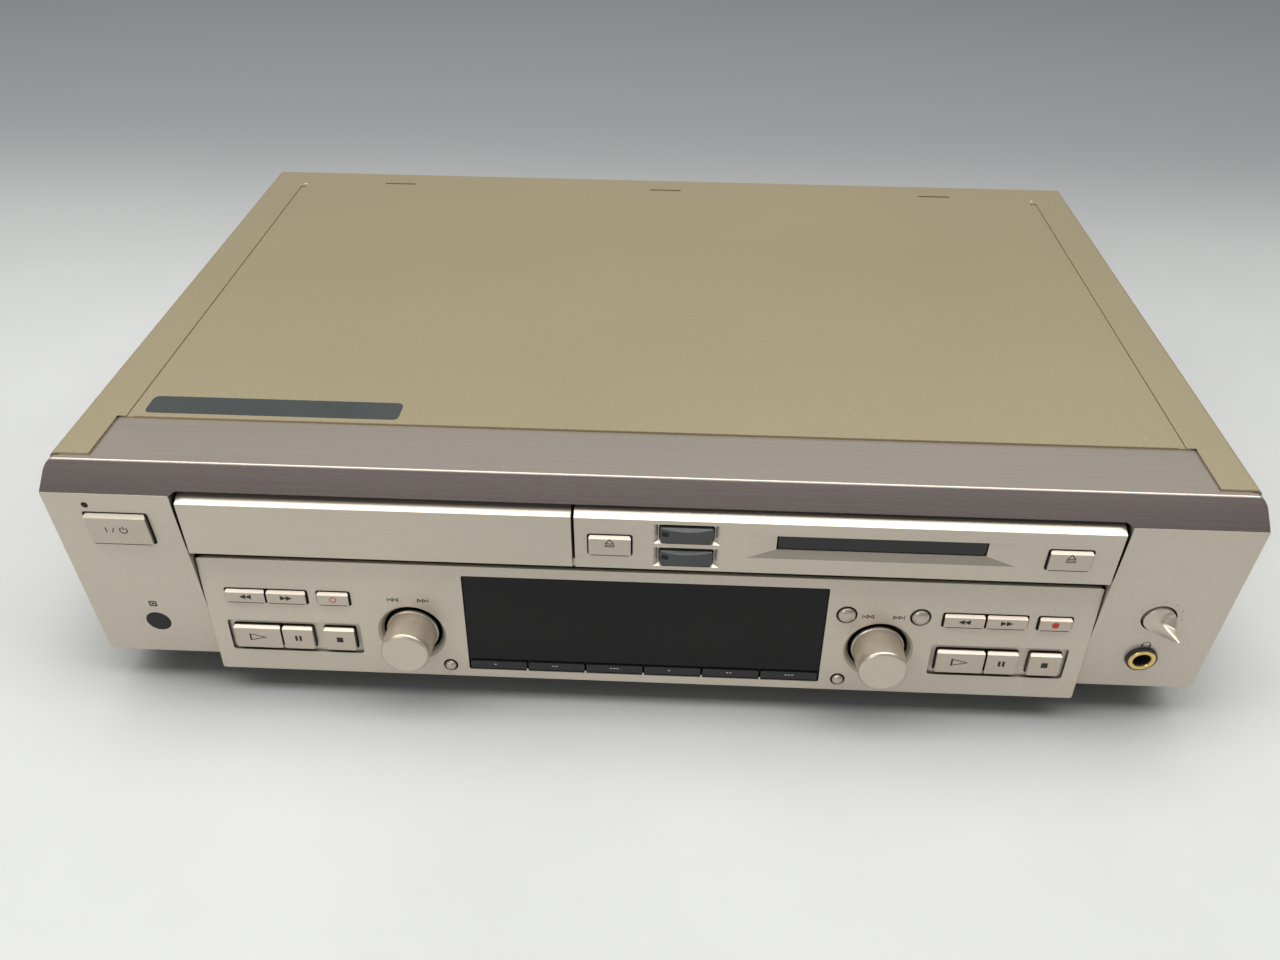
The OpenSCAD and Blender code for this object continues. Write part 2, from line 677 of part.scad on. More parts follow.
module md_panel() color([0.71, 0.67, 0.61]) {
    difference() {
        union() {
            along_x(md_left, md_right) row_outline();
            along_x(md_left, md_left + 1.8) row_end();
            along_x(md_right - 1.8, md_right) row_end();
            for (s = [-1, 1]) translate([slot_x + s * (slot_w / 2 + 1.6), 0, 0])
                block([-1.2, 0.5, slot_z - slot_h / 2 - 1], [1.2, flap_pin_y + 2.5, flap_pin_z + 2]);
            for (x = [md_left + 14, md_right - 20])
                block([x, row_d - 2, row_z + chamfer_z - 2], [x + 8, panel_d - 0.1, rail_z]);
            on_row() for (x = panel_posts)
                translate([x, -panel_key_d, -panel_board_gap])
                    cylinder(r = post_r, h = panel_board_gap - wall + eps);
            on_row() translate([sync_x, -sync_rows[1], -wall - sync_sink])
                translate([-sync_w / 2 - 2.5, -sync_h / 2 - 1.6, 0])
                    cube([sync_w + 5, sync_rows[1] - sync_rows[0] + sync_h + 3, wall]);
        }
        on_row() {
            for (k = concat(panel_keys, sync_keys)) translate([k[1], -k[2], -wall - 4])
                linear_extrude(wall + 6) rounded(k[3], k[4], 1);
            for (d = sync_rows) translate([sync_x, -d, 0])
                funnel([sync_w + 4, sync_h + 1.8], [sync_w + 0.6, sync_h + 0.4], 0, sync_sink);
            translate([slot_x, -slot_d, 0])
                funnel([slot_w + 2 * shelf_side, slot_h + shelf_drop + 0.2],
                       [slot_w - 0.1, slot_h - 0.1], -shelf_drop / 2 + 0.1, shelf_sink);
        }
        translate([slot_x, 0, 0]) {
            block([-slot_w / 2, -5, slot_z - slot_h / 2], [slot_w / 2, 20, slot_top]);
            block([-slot_w / 2, flap_y - 0.15, slot_z], [slot_w / 2, 20, flap_pin_z + flap_pocket]);
        }
        for (s = [-1, 1]) translate([slot_x + s * (slot_w / 2 + 1), flap_pin_y, flap_pin_z])
            rotate([0, 90, 0]) cylinder(r = flap_pin_r + run, h = 2.6, center = true);
    }
}

module tray_door() color([0.71, 0.67, 0.61]) {
    left = door_x - door_w / 2;
    along_x(left, left + door_w) row_outline();
    along_x(left, left + 1.8) row_end();
    along_x(left + door_w - 1.8, left + door_w) row_end();
}

module md_flap() color([0.17, 0.19, 0.18]) {
    w = slot_w - 1;
    h = flap_pin_z - flap_low;
    r = 1.6;
    translate([slot_x, flap_y + flap_t, flap_low]) rotate([90, 0, 0]) linear_extrude(flap_t) {
        translate([-w / 2, r]) square([w, h - r]);
        translate([-w / 2 + r, 0]) square([w - 2 * r, h]);
        for (s = [-1, 1]) translate([s * (w / 2 - r), r]) circle(r);
    }
    translate([slot_x - slot_w / 2 - 1, flap_pin_y, flap_pin_z]) rotate([0, 90, 0])
        cylinder(r = flap_pin_r, h = slot_w + 2);
}

module display_window() color([0.10, 0.10, 0.11]) {
    v = -window_d - window_h / 2;
    on_plate() {
        translate([0, v, -wall - fit]) linear_extrude(wall + fit - window_sink)
            rounded(2 * display_half, window_h, 0.6);
        translate([0, v + 0.8, -wall - 1.2]) linear_extrude(1.2)
            square([2 * display_half + 4, window_h + 1.6], center = true);
    }
}

module front_lenses() color([0.12, 0.04, 0.04]) {
    on_wing() {
        translate([lamp_at[0], lamp_at[1], -6]) cylinder(r = lamp_r - 0.1, h = 6.2);
        translate([remote_at[0], remote_at[1], -wall - 0.5]) cylinder(r = remote_r - 0.1, h = wall + 0.6);
        translate([remote_at[0], remote_at[1], -wall - 1.5]) cylinder(r = remote_r + 1.5, h = 1.5);
        translate([lamp_at[0], lamp_at[1], -wall - 1.5]) cylinder(r = lamp_r + 0.8, h = 1.5);
    }
}

module power_key() color([0.73, 0.69, 0.63]) {
    on_wing() translate([power_x, power_z, 0])
        key(power_w, power_h, 1, power_out, 0.7, 1.2, wing_board_gap, power_travel);
}

module transport_key(k) color([0.73, 0.69, 0.63]) {
    on_plate() translate([k[1], -k[2], 0]) key(k[3], k[4], 0.7, key_out, 1, 1);
}

module round_key(k) color([0.75, 0.71, 0.65]) {
    back = wall + fit;
    stem = board_gap - switch_h - key_travel - fit;
    on_plate() translate([k[1], -k[2], 0]) {
        translate([0, 0, -back]) cylinder(r = k[3] - key_gap, h = back + key_out - 0.2);
        translate([0, 0, -back - 1]) cylinder(r = k[3] + 0.8, h = 1 + eps);
        translate([0, 0, -stem]) cylinder(r = 1.2, h = stem - back);
    }
}

module display_key(k) color([0.16, 0.18, 0.19]) {
    on_plate() translate([k[1], -k[2], 0])
        key(display_key_w, display_key_h, 0.4, -0.3, -0.4, 1.2);
}

module panel_key(k) color([0.73, 0.69, 0.63]) {
    on_row() translate([k[1], -k[2], 0])
        key(k[3], k[4], 0.8, key_out, 1.2, 1.2, panel_board_gap);
}

// A sync key, whose face is bowed from left to right
module sync_key(k) color([0.29, 0.32, 0.33]) {
    on_row() translate([k[1], -k[2], 0]) intersection() {
        key(k[3], k[4], 0.8, sync_out, 0.8, 0.8, panel_board_gap, key_travel, sync_sink);
        translate([0, 0, sync_out - sync_bow_r]) rotate([90, 0, 0])
            cylinder(r = sync_bow_r, h = 2 * k[4], center = true);
    }
}

module jog_rotor(x) color([0.3, 0.3, 0.3]) {
    on_plate() translate([x, -jog_row, -board_gap + 1]) difference() {
        cylinder(r = rotor_r, h = rotor_t);
        translate([0, 0, -1]) cylinder(r = jog_shaft_r + run, h = rotor_t + 2);
    }
}

module jog_knob(x) color([0.75, 0.71, 0.65]) {
    on_plate() translate([x, -jog_row, 0]) {
        rotate_extrude() polygon([[0, -2.2], [jog_flange_r, -2.2], [jog_flange_r, -1], [jog_r, -0.7],
                                  [jog_r - 0.4, jog_out - 0.7], [jog_face_r, jog_out], [0, jog_out]]);
        translate([0, 0, -board_gap - board_t - 1]) cylinder(r = jog_shaft_r, h = board_gap + board_t + 1);
    }
}

module phone_level_knob() color([0.75, 0.71, 0.65]) {
    on_wing() translate([level_at[0], level_at[1], 0]) {
        translate([0, 0, -1]) cylinder(r = level_r, h = 1 + level_low);
        rotate([0, 0, level_turn]) intersection() {
            cylinder(r = level_r, h = level_out);
            translate([0, blade_t / 2, 0]) rotate([90, 0, 0]) linear_extrude(blade_t)
                polygon([[-0.7 * level_r, 0], [level_r, 0], [level_r, level_out],
                         [0.6 * level_r, 0.6 * level_out], [0, 0.3 * level_out],
                         [-0.7 * level_r, level_low]]);
        }
        translate([0, 0, -22]) cylinder(r = level_shaft_r, h = 22);
    }
}

module phones_jack() color([0.78, 0.65, 0.31]) {
    on_wing() translate([jack_at[0], jack_at[1], 0]) difference() {
        union() {
            cylinder(r = jack_nut_r, h = 1.6);
            translate([0, 0, -wall - 2]) cylinder(r = jack_hole_r - 0.1, h = wall + 2.5);
            translate([-7, -7, -jack_depth - 3]) cube([14, 14, jack_depth + 3 - wall]);
        }
        translate([0, 0, -jack_depth]) cylinder(r = phones_bore_r, h = jack_depth + 5);
        translate([0, 0, 1]) cylinder(r1 = phones_bore_r, r2 = phones_bore_r + 1, h = 0.7);
    }
}

// ---- back pieces ----

module line_sockets() color([0.15, 0.15, 0.16]) {
    for (p = line_at) translate([p[0], back_y + sheet_t, p[1]]) rotate([-90, 0, 0]) difference() {
        union() {
            cylinder(r = line_shell_r + 2.4, h = 1.2);
            cylinder(r = line_shell_r, h = line_out);
            translate([0, 0, -8]) cylinder(r = line_shell_r + 0.9, h = 8 + eps);
        }
        translate([0, 0, 1]) cylinder(r = 1.6, h = line_out);
    }
}

module mains_bushing() color([0.1, 0.1, 0.1]) {
    translate([gland_at[0], back_y + sheet_t, gland_at[1]]) rotate([-90, 0, 0]) difference() {
        union() {
            cylinder(r = gland_r + 5, h = 3);
            cylinder(r1 = gland_r + 3, r2 = gland_r + 1.6, h = 7);
            translate([0, 0, -8]) cylinder(r = gland_r + 2.8, h = 9);
        }
        translate([0, 0, -10]) cylinder(r = gland_r, h = 30);
    }
}

// ---- electronics ----

module transformer() color([0.35, 0.3, 0.28]) {
    translate([63.4 - inner_half, case_d - 68, floor_z]) {
        difference() {
            cube([58, 46, 48]);
            translate([8, -1, 9]) cube([42, 48, 30]);
        }
        translate([8, -7, 9]) cube([42, 60, 30]);
        for (x = [-7, 58 - eps]) translate([x, 8, 0]) cube([7 + eps, 30, 2]);
    }
}

module circuit_boards() color([0.25, 0.4, 0.25]) {
    // Main board with its larger parts
    z = floor_z + post_h;
    block([board_at[0][0], board_at[0][1], z], [board_at[1][0], board_at[1][1], z + board_t]);
    translate([board_at[0][0], 0, z + board_t - eps]) {
        for (i = [1:4]) translate([i * 30, board_at[0][1] + 40, 0]) cylinder(r = 8, h = 25);
        block([80, case_d - 75, 0], [110, case_d - 45, 3]);
    }
    for (x = optical_at) translate([x, 0, 0]) {
        block([0.3, back_y - 16, z + board_t - eps],
              [optical_w - 0.3, back_y - sheet_t - 0.4, optical_z + optical_w - 0.4]);
        block([0.3, back_y - 4, optical_z + 0.4],
              [optical_w - 0.3, back_y + sheet_t + 1.5, optical_z + optical_w - 0.4]);
    }
    // Front board behind the control plate, with its switches, coders and display tube
    on_plate() {
        difference() {
            translate([-plate_half + 4, -plate_h + 5, -board_gap - board_t])
                cube([2 * plate_half - 8, plate_h - 8, board_t]);
            for (j = jogs) translate([j[1], -jog_row, -board_gap - 5]) cylinder(r = jog_shaft_r + 1, h = 10);
        }
        for (k = transport_keys) translate([k[1], -k[2], 0]) switch(board_gap);
        for (k = concat(display_keys, round_keys)) translate([k[1], -k[2] + 0.8, 0]) switch(board_gap, 2.2);
        for (j = jogs) translate([j[1], -jog_row, -board_gap - eps]) difference() {
            translate([-7, -7, 0]) cube([14, 14, 5.5]);
            translate([0, 0, 1 - fit]) cylinder(r = rotor_r + run, h = 6);
            translate([0, 0, -1]) cylinder(r = jog_shaft_r + 1, h = 6);
        }
        translate([-58, -window_d - window_h + 6, -board_gap - eps]) cube([116, window_h - 12, 6]);
    }
    // Small boards behind the upper row's keys and the power key
    on_row() {
        for (k = concat(panel_keys, sync_keys)) translate([k[1], -k[2], 0]) switch(panel_board_gap);
        translate([open_close_x - 6, -20, -panel_board_gap - board_t])
            cube([sync_x - open_close_x + 14, 17, board_t]);
        translate([eject_x - 8, -20, -panel_board_gap - board_t]) cube([23, 17, board_t]);
    }
    on_wing() {
        side = half_w - wall;
        translate([power_x, power_z, 0]) switch(wing_board_gap);
        translate([-side, power_z - 8, -wing_board_gap - board_t])
            cube([side - open_half - wall, 16, board_t]);
        // Level control behind the phones knob
        difference() {
            union() {
                translate([open_half + wall, level_at[1] - 8, -wing_board_gap - board_t])
                    cube([side - open_half - wall, 16, board_t]);
                translate([level_at[0] - 6.5, level_at[1] - 6.5, -20]) cube([13, 13, 9]);
            }
            translate([level_at[0], level_at[1], -25]) cylinder(r = level_shaft_r + run, h = 30);
        }
    }
}

// ---- disc drawer ----

module cd_tray() color([0.12, 0.12, 0.13]) {
    translate([door_x, 0, 0]) difference() {
        union() {
            block([-tray_w / 2, row_d, tray_z], [tray_w / 2, tray_back, tray_top]);
            translate([rack_x - door_x, 0, 0]) {
                block([-6, gear_y - 12, gear_z - 0.5], [-gear_module * 1.25, tray_back, tray_z + eps]);
                translate([0, gear_y, gear_z - 0.5]) linear_extrude(tray_z - gear_z + 0.5 + eps)
                    rack_outline();
            }
        }
        translate([0, disc_y, well_z]) cylinder(r = disc_r, h = 20, $fn = 96);
        translate([0, disc_y, small_well_z]) cylinder(r = small_disc_r, h = 20, $fn = 96);
        translate([0, disc_y, 0]) cylinder(r = tunnel_half, h = 200);
        block([-tunnel_half, disc_y, 0], [tunnel_half, tray_back + 1, 200]);
    }
}

// The rack's teeth, along y from the point beside the gear's centre
module rack_outline() {
    half = gear_pitch * tooth_share / 2;
    tip = half - gear_module * 0.36;
    root = half + gear_module * 0.44;
    count = floor((tray_back - gear_y - 4) / gear_pitch);
    for (i = [-2:count]) translate([0, i * gear_pitch])
        polygon([[-gear_module * 1.26, -root], [gear_module * 0.9, -tip],
                 [gear_module * 0.9, tip], [-gear_module * 1.26, root]]);
}

module drive_gear() color([0.85, 0.83, 0.76]) {
    root_r = gear_r - gear_module * 1.25;
    half = 180 / gear_teeth * tooth_share;
    translate([gear_at[0], gear_at[1], gear_z]) {
        linear_extrude(gear_t) {
            circle(root_r);
            for (i = [0:gear_teeth - 1]) rotate([0, 0, 180 + (i + 0.5) * 360 / gear_teeth])
                polygon([[root_r - 0.5, -half * 1.5 * PI / 180 * gear_r], [gear_r, -half * PI / 180 * gear_r],
                         [gear_r + gear_module * 0.9, -half * 0.45 * PI / 180 * gear_r],
                         [gear_r + gear_module * 0.9, half * 0.45 * PI / 180 * gear_r],
                         [gear_r, half * PI / 180 * gear_r], [root_r - 0.5, half * 1.5 * PI / 180 * gear_r]]);
        }
        translate([0, 0, -10]) cylinder(r = 1.5, h = 10 + gear_t);
    }
}

module loading_motor() color([0.7, 0.7, 0.7]) {
    translate([gear_at[0], gear_at[1], loader_floor]) difference() {
        cylinder(r = 11, h = gear_z - 1 - loader_floor);
        translate([0, 0, 4]) cylinder(r = 1.5 + run, h = 60);
    }
}
loader_floor = floor_z + 30;

module loader_frame() color([0.2, 0.2, 0.21]) {
    x = loader_in;
    z0 = base_hinge[1] - 6;
    translate([door_x, 0, 0]) {
        difference() {
            union() {
                both_sides() {
                    block([x, loader_y0, z0], [x + loader_t, loader_y1, loader_top]);
                    block([x - ledge_w, loader_y0, tray_z - fit - 2], [x, loader_y1, tray_z - fit]);
                    for (y = [loader_y0 + 8, loader_y1 - 10]) block([x - 6, y, floor_z], [x, y + 8, z0 + 3]);
                    block([base_half + 2, base_hinge[0] - 4, z0],
                          [x + 1, base_hinge[0] + 4, base_hinge[1] + 3]);
                }
                block([-x - 1, loader_y1 - 3, z0], [x + 1, loader_y1, loader_top]);
                block([-x - 1, disc_y - bridge_w / 2, loader_top - bridge_t],
                      [x + 1, disc_y + bridge_w / 2, loader_top]);
                block([rack_x - door_x + 4, loader_y0 + 4, loader_floor - 2],
                      [x - 5, loader_y0 + 32, loader_floor]);
            }
            translate([0, disc_y, 0]) cylinder(r = clamp_r + 1.2, h = 200);
            translate([0, base_hinge[0], base_hinge[1]]) rotate([0, 90, 0])
                cylinder(r = base_pin_r + run, h = 2 * base_half + 20, center = true);
        }
    }
}

module lift_base() color([0.55, 0.56, 0.57]) {
    z = base_hinge[1];
    translate([door_x, 0, 0]) difference() {
        union() {
            block([-base_half, base_y0, z - base_t / 2], [base_half, base_hinge[0] + 3, z + base_t / 2]);
            translate([0, disc_y, z - 16]) cylinder(r = motor_r, h = 16 + base_t);
            for (s = [-1, 1]) {
                translate([s * (base_half - 1), base_hinge[0], z]) rotate([0, s * 90, 0])
                    cylinder(r = base_pin_r, h = 8);
                bar_y(s * rod_x, z + 3.5, pickup_y - 14, pickup_y + pickup_travel + 14, rod_r);
                for (y = [pickup_y - 14, pickup_y + pickup_travel + 12])
                    block([s * rod_x - 2.5, y, z], [s * rod_x + 2.5, y + 2, z + 5.5]);
            }
        }
        block([-rod_x - 6, pickup_y - 11, z - 5], [rod_x + 6, pickup_y + pickup_travel + 11.5, z + 1.4]);
        translate([0, disc_y, z - 14]) cylinder(r = spindle_shaft_r + run, h = 60);
    }
}

module spindle() color([0.5, 0.5, 0.5]) {
    z = base_hinge[1] + base_t;
    top = well_z + 1.8;
    translate([door_x, disc_y, 0]) {
        translate([0, 0, z - 14]) cylinder(r = spindle_shaft_r, h = top - z + 12);
        translate([0, 0, z + 0.5]) cylinder(r = 4, h = top - z - 2);
        translate([0, 0, top - 2]) cylinder(r = turntable_r, h = 2);
        translate([0, 0, top - eps]) cylinder(r1 = hub_r, r2 = hub_r - 1.6, h = 2.4);
    }
}

module pickup() color([0.25, 0.25, 0.27]) {
    z = base_hinge[1];
    translate([door_x, pickup_y, 0]) difference() {
        union() {
            block([-rod_x - 3.5, -9, z + 1.6], [rod_x + 3.5, 9, z + 6.5]);
            block([-9, -8, z - 4], [9, 8, z + 2]);
            translate([0, 0, z + 6]) cylinder(r = 3.4, h = small_well_z - z - 8);
        }
        for (s = [-1, 1]) bar_y(s * rod_x, z + 3.5, -20, 20, rod_r + run);
    }
}

module clamper() color([0.22, 0.22, 0.24]) {
    translate([door_x, disc_y, 0]) {
        translate([0, 0, loader_top + fit]) cylinder(r = clamp_r + clamp_lip, h = 1.6);
        translate([0, 0, tray_top + 1]) cylinder(r = clamp_r, h = loader_top - tray_top - 1 + fit + eps);
    }
}

// ---- minidisc unit ----

module md_frame() color([0.66, 0.67, 0.68]) {
    z0 = slot_z - holder_in[2] / 2 - holder_t - holder_travel - 14;
    x = md_side;
    translate([slot_x, 0, 0]) {
        both_sides() {
            block([x, md_y0, z0], [x + 1.2, md_y1, slot_top + 3]);
            for (y = [md_y0 + 6, md_y1 - 14]) block([x, y, floor_z], [x + 10, y + 8, z0 + 4]);
        }
        difference() {
            block([-x - 0.5, md_y0, z0], [x + 0.5, md_y1, z0 + 1.2]);
            block([-14, 60, z0 - 1], [14, 100, z0 + 3]);
        }
        translate([0, md_y0 + 42, z0]) cylinder(r = 11, h = 8);
        translate([0, md_y0 + 42, z0 + 7]) cylinder(r = 6, h = 4);
        for (s = [-1, 1]) bar_y(s * 8, z0 + 1.2, 59, 101, 1.2);
        block([-12, 72, z0], [12, 90, z0 + 8]);
        block([-x - 0.5, md_y1 - 1.2, z0], [x + 0.5, md_y1, slot_top + 3]);
    }
}

module md_holder() color([0.75, 0.76, 0.77]) {
    i = holder_in;
    translate([slot_x, md_y0, slot_z]) difference() {
        block([-i[0] / 2 - holder_t, 0, -i[2] / 2 - holder_t],
              [i[0] / 2 + holder_t, i[1], i[2] / 2 + holder_t]);
        block([-i[0] / 2, -1, -i[2] / 2], [i[0] / 2, i[1] - holder_t, i[2] / 2]);
        block([-22, 20, -20], [22, 72, 0]);
    }
}

// ---- assembly ----

module place() {
    translate([0, -middle_y, 0]) children();
}

place() top_cover();
place() front_cap();
place() front_panel();
place() control_plate();
place() md_panel();
place() chassis();
place() rear_panel();
place() feet();
place() screws();
place() display_window();
place() front_lenses();
place() phones_jack();
place() line_sockets();
place() mains_bushing();
place() transformer();
place() circuit_boards();
place() loader_frame();
place() lift_base();
place() spindle();
place() pickup();
place() clamper();
place() cd_tray();
place() tray_door();
place() drive_gear();
place() loading_motor();
place() md_frame();
place() md_flap();
place() md_holder();
place() power_key();
place() phone_level_knob();
for (k = transport_keys) place() transport_key(k);
for (k = round_keys) place() round_key(k);
for (k = display_keys) place() display_key(k);
for (k = panel_keys) place() panel_key(k);
for (k = sync_keys) place() sync_key(k);
for (j = jogs) place() jog_rotor(j[1]);
for (j = jogs) place() jog_knob(j[1]);
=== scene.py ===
import math

import bmesh
import bpy
from mathutils import Matrix, Vector


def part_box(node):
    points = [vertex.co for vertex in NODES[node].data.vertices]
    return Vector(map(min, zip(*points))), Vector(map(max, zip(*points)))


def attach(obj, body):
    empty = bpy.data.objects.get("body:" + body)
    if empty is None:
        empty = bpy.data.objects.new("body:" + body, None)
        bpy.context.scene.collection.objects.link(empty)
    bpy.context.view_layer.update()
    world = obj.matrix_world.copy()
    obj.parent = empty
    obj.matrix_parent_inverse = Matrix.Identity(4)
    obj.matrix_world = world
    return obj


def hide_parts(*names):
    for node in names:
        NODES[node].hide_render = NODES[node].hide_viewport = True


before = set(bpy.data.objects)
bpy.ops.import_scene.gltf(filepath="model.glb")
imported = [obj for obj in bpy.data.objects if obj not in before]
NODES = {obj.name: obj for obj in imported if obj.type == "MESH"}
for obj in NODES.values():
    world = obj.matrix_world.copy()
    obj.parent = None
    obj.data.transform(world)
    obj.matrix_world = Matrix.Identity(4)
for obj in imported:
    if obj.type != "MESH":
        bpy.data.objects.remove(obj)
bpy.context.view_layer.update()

MM = 0.001

# ---- where things are, from the frame -------------------------------------------------------

FRONT_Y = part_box("front_panel")[0][1]        # front face of the wings
KINK_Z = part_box("front_cap")[0][2]           # lower edge of the cap's band
COVER_LIFT = 1.1 * MM                        # the cover's top over the rear panel's top edge
COVER_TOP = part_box("rear_panel")[1][2] + COVER_LIFT
CAP_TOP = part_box("front_cap")[1][2]
BACK_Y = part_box("rear_panel")[1][1]


class Face:
    """A flat face in millimetres: x to the right, v up the face and n out of it."""

    def __init__(self, y, drop, tilt):
        self.y = FRONT_Y + y * MM
        self.z = KINK_Z - drop * MM
        self.sin = math.sin(math.radians(tilt))
        self.cos = math.cos(math.radians(tilt))

    def at(self, x, v, n):
        return Vector((x * MM,
                       self.y + (v * self.sin - n * self.cos) * MM,
                       self.z + (v * self.cos + n * self.sin) * MM))


class Level:
    """The top of the cover in millimetres: x to the right, v towards the back and n up."""

    def at(self, x, v, n):
        return Vector((x * MM, FRONT_Y + v * MM, COVER_TOP + n * MM))


class Back:
    """The rear panel in millimetres: x stays the deck's own x, v is up from the floor, n to the back."""

    def at(self, x, v, n):
        return Vector((x * MM, BACK_Y + n * MM, v * MM))


# Each front face: how far its top edge stands back, its drop below the band, and its lean in degrees
PLATE = Face(2.3, 31.5, 7.1)
ROW = Face(-0.8, 3.0, 3.0)
WING = Face(0.0, 0.0, 0.0)
TOP = Level()
REAR = Back()

# Millimetres up a front face from its top edge to the middle of each row of parts
SMALL_ROW = -17.0            # on the plate: rewind, forward and record keys
LARGE_ROW = -36.7            # play, pause and stop keys
JOG_ROW = -33.1
ROUND_ROW = -16.3            # menu and yes keys
CLEAR_ROW = -48.4
STROKE_ROW = -47.6           # the marks on the display keys
TICK_ROW = -49.7             # between the display keys
ARROW_ROW = -16.8            # over the jog knobs
PANEL_ROW = -11.6            # in the upper row: open/close and eject keys
SYNC_ROWS = (-5.7, -16.1)    # the two dubbing keys' lamps
POWER_ROW = -15.7            # on the wings
LEVEL_ROW = -43.6
JACK_ROW = -64.9
CUPS_ROW = -57.2
REMOTE_X, REMOTE_ROW = -190.2, -54.7

KEY_OUT = 1.2                # how far a key's front stands proud
POWER_OUT = 1.6
KEY_GAP = 0.4                # between a key and its opening
PAIR_W, SINGLE_W, SMALL_H = 31.6, 12.7, 6.4
PANEL_KEY_W, PANEL_KEY_H = 15.8, 9.1
POWER_W, POWER_H = 23.2, 14.2
ROUND_R, CLEAR_R = 3.3, 2.2


def middle_x(node):
    """The x of a node's middle, in millimetres."""
    low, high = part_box(node)
    return (low[0] + high[0]) / 2 / MM


# ---- camera ---------------------------------------------------------------------------------

CAMERA_FROM_KINK = (10.0, -270.8, 231.3)     # millimetres from the middle of the band's lower edge
CAMERA_DOWN = math.radians(38.69)
CAMERA_LEFT = math.radians(1.92)
CAMERA_ROLL = math.radians(-0.64)
SENSOR, LENS = 36.0, 28.735                  # millimetres
SHIFT_X, SHIFT_Y = -0.00625, 0.00016         # of the image's width


def make_camera():
    cd, sd = math.cos(CAMERA_DOWN), math.sin(CAMERA_DOWN)
    cl, sl = math.cos(CAMERA_LEFT), math.sin(CAMERA_LEFT)
    cr, sr = math.cos(CAMERA_ROLL), math.sin(CAMERA_ROLL)
    across = Vector((cl, sl, 0))
    ahead = Vector((-sl, cl, 0))
    forward = cd * ahead - sd * Vector((0, 0, 1))
    lift = sd * ahead + cd * Vector((0, 0, 1))
    right = cr * across - sr * lift
    up = sr * across + cr * lift
    data = bpy.data.cameras.new("camera")
    data.sensor_fit = "HORIZONTAL"
    data.sensor_width = SENSOR
    data.lens = LENS
    data.shift_x = SHIFT_X
    data.shift_y = SHIFT_Y
    data.clip_start = 0.01
    camera = bpy.data.objects.new("camera", data)
    bpy.context.scene.collection.objects.link(camera)
    place = Matrix((right, up, -forward)).transposed().to_4x4()
    x, y, z = CAMERA_FROM_KINK
    place.translation = Vector((x * MM, FRONT_Y + y * MM, KINK_Z + z * MM))
    camera.matrix_world = place
    bpy.context.scene.camera = camera


make_camera()

# ---- materials ------------------------------------------------------------------------------


def linear(red, green, blue):
    """A colour as a screen shows it, 0 to 255, in Blender's linear values."""
    def one(value):
        value = value / 255
        return value / 12.92 if value <= 0.04045 else ((value + 0.055) / 1.055) ** 2.4
    return (one(red), one(green), one(blue), 1.0)


GAP_SAMPLES = 12
FINE_RELIEF = 0.02 * MM
GRAIN_RELIEF = 0.03 * MM


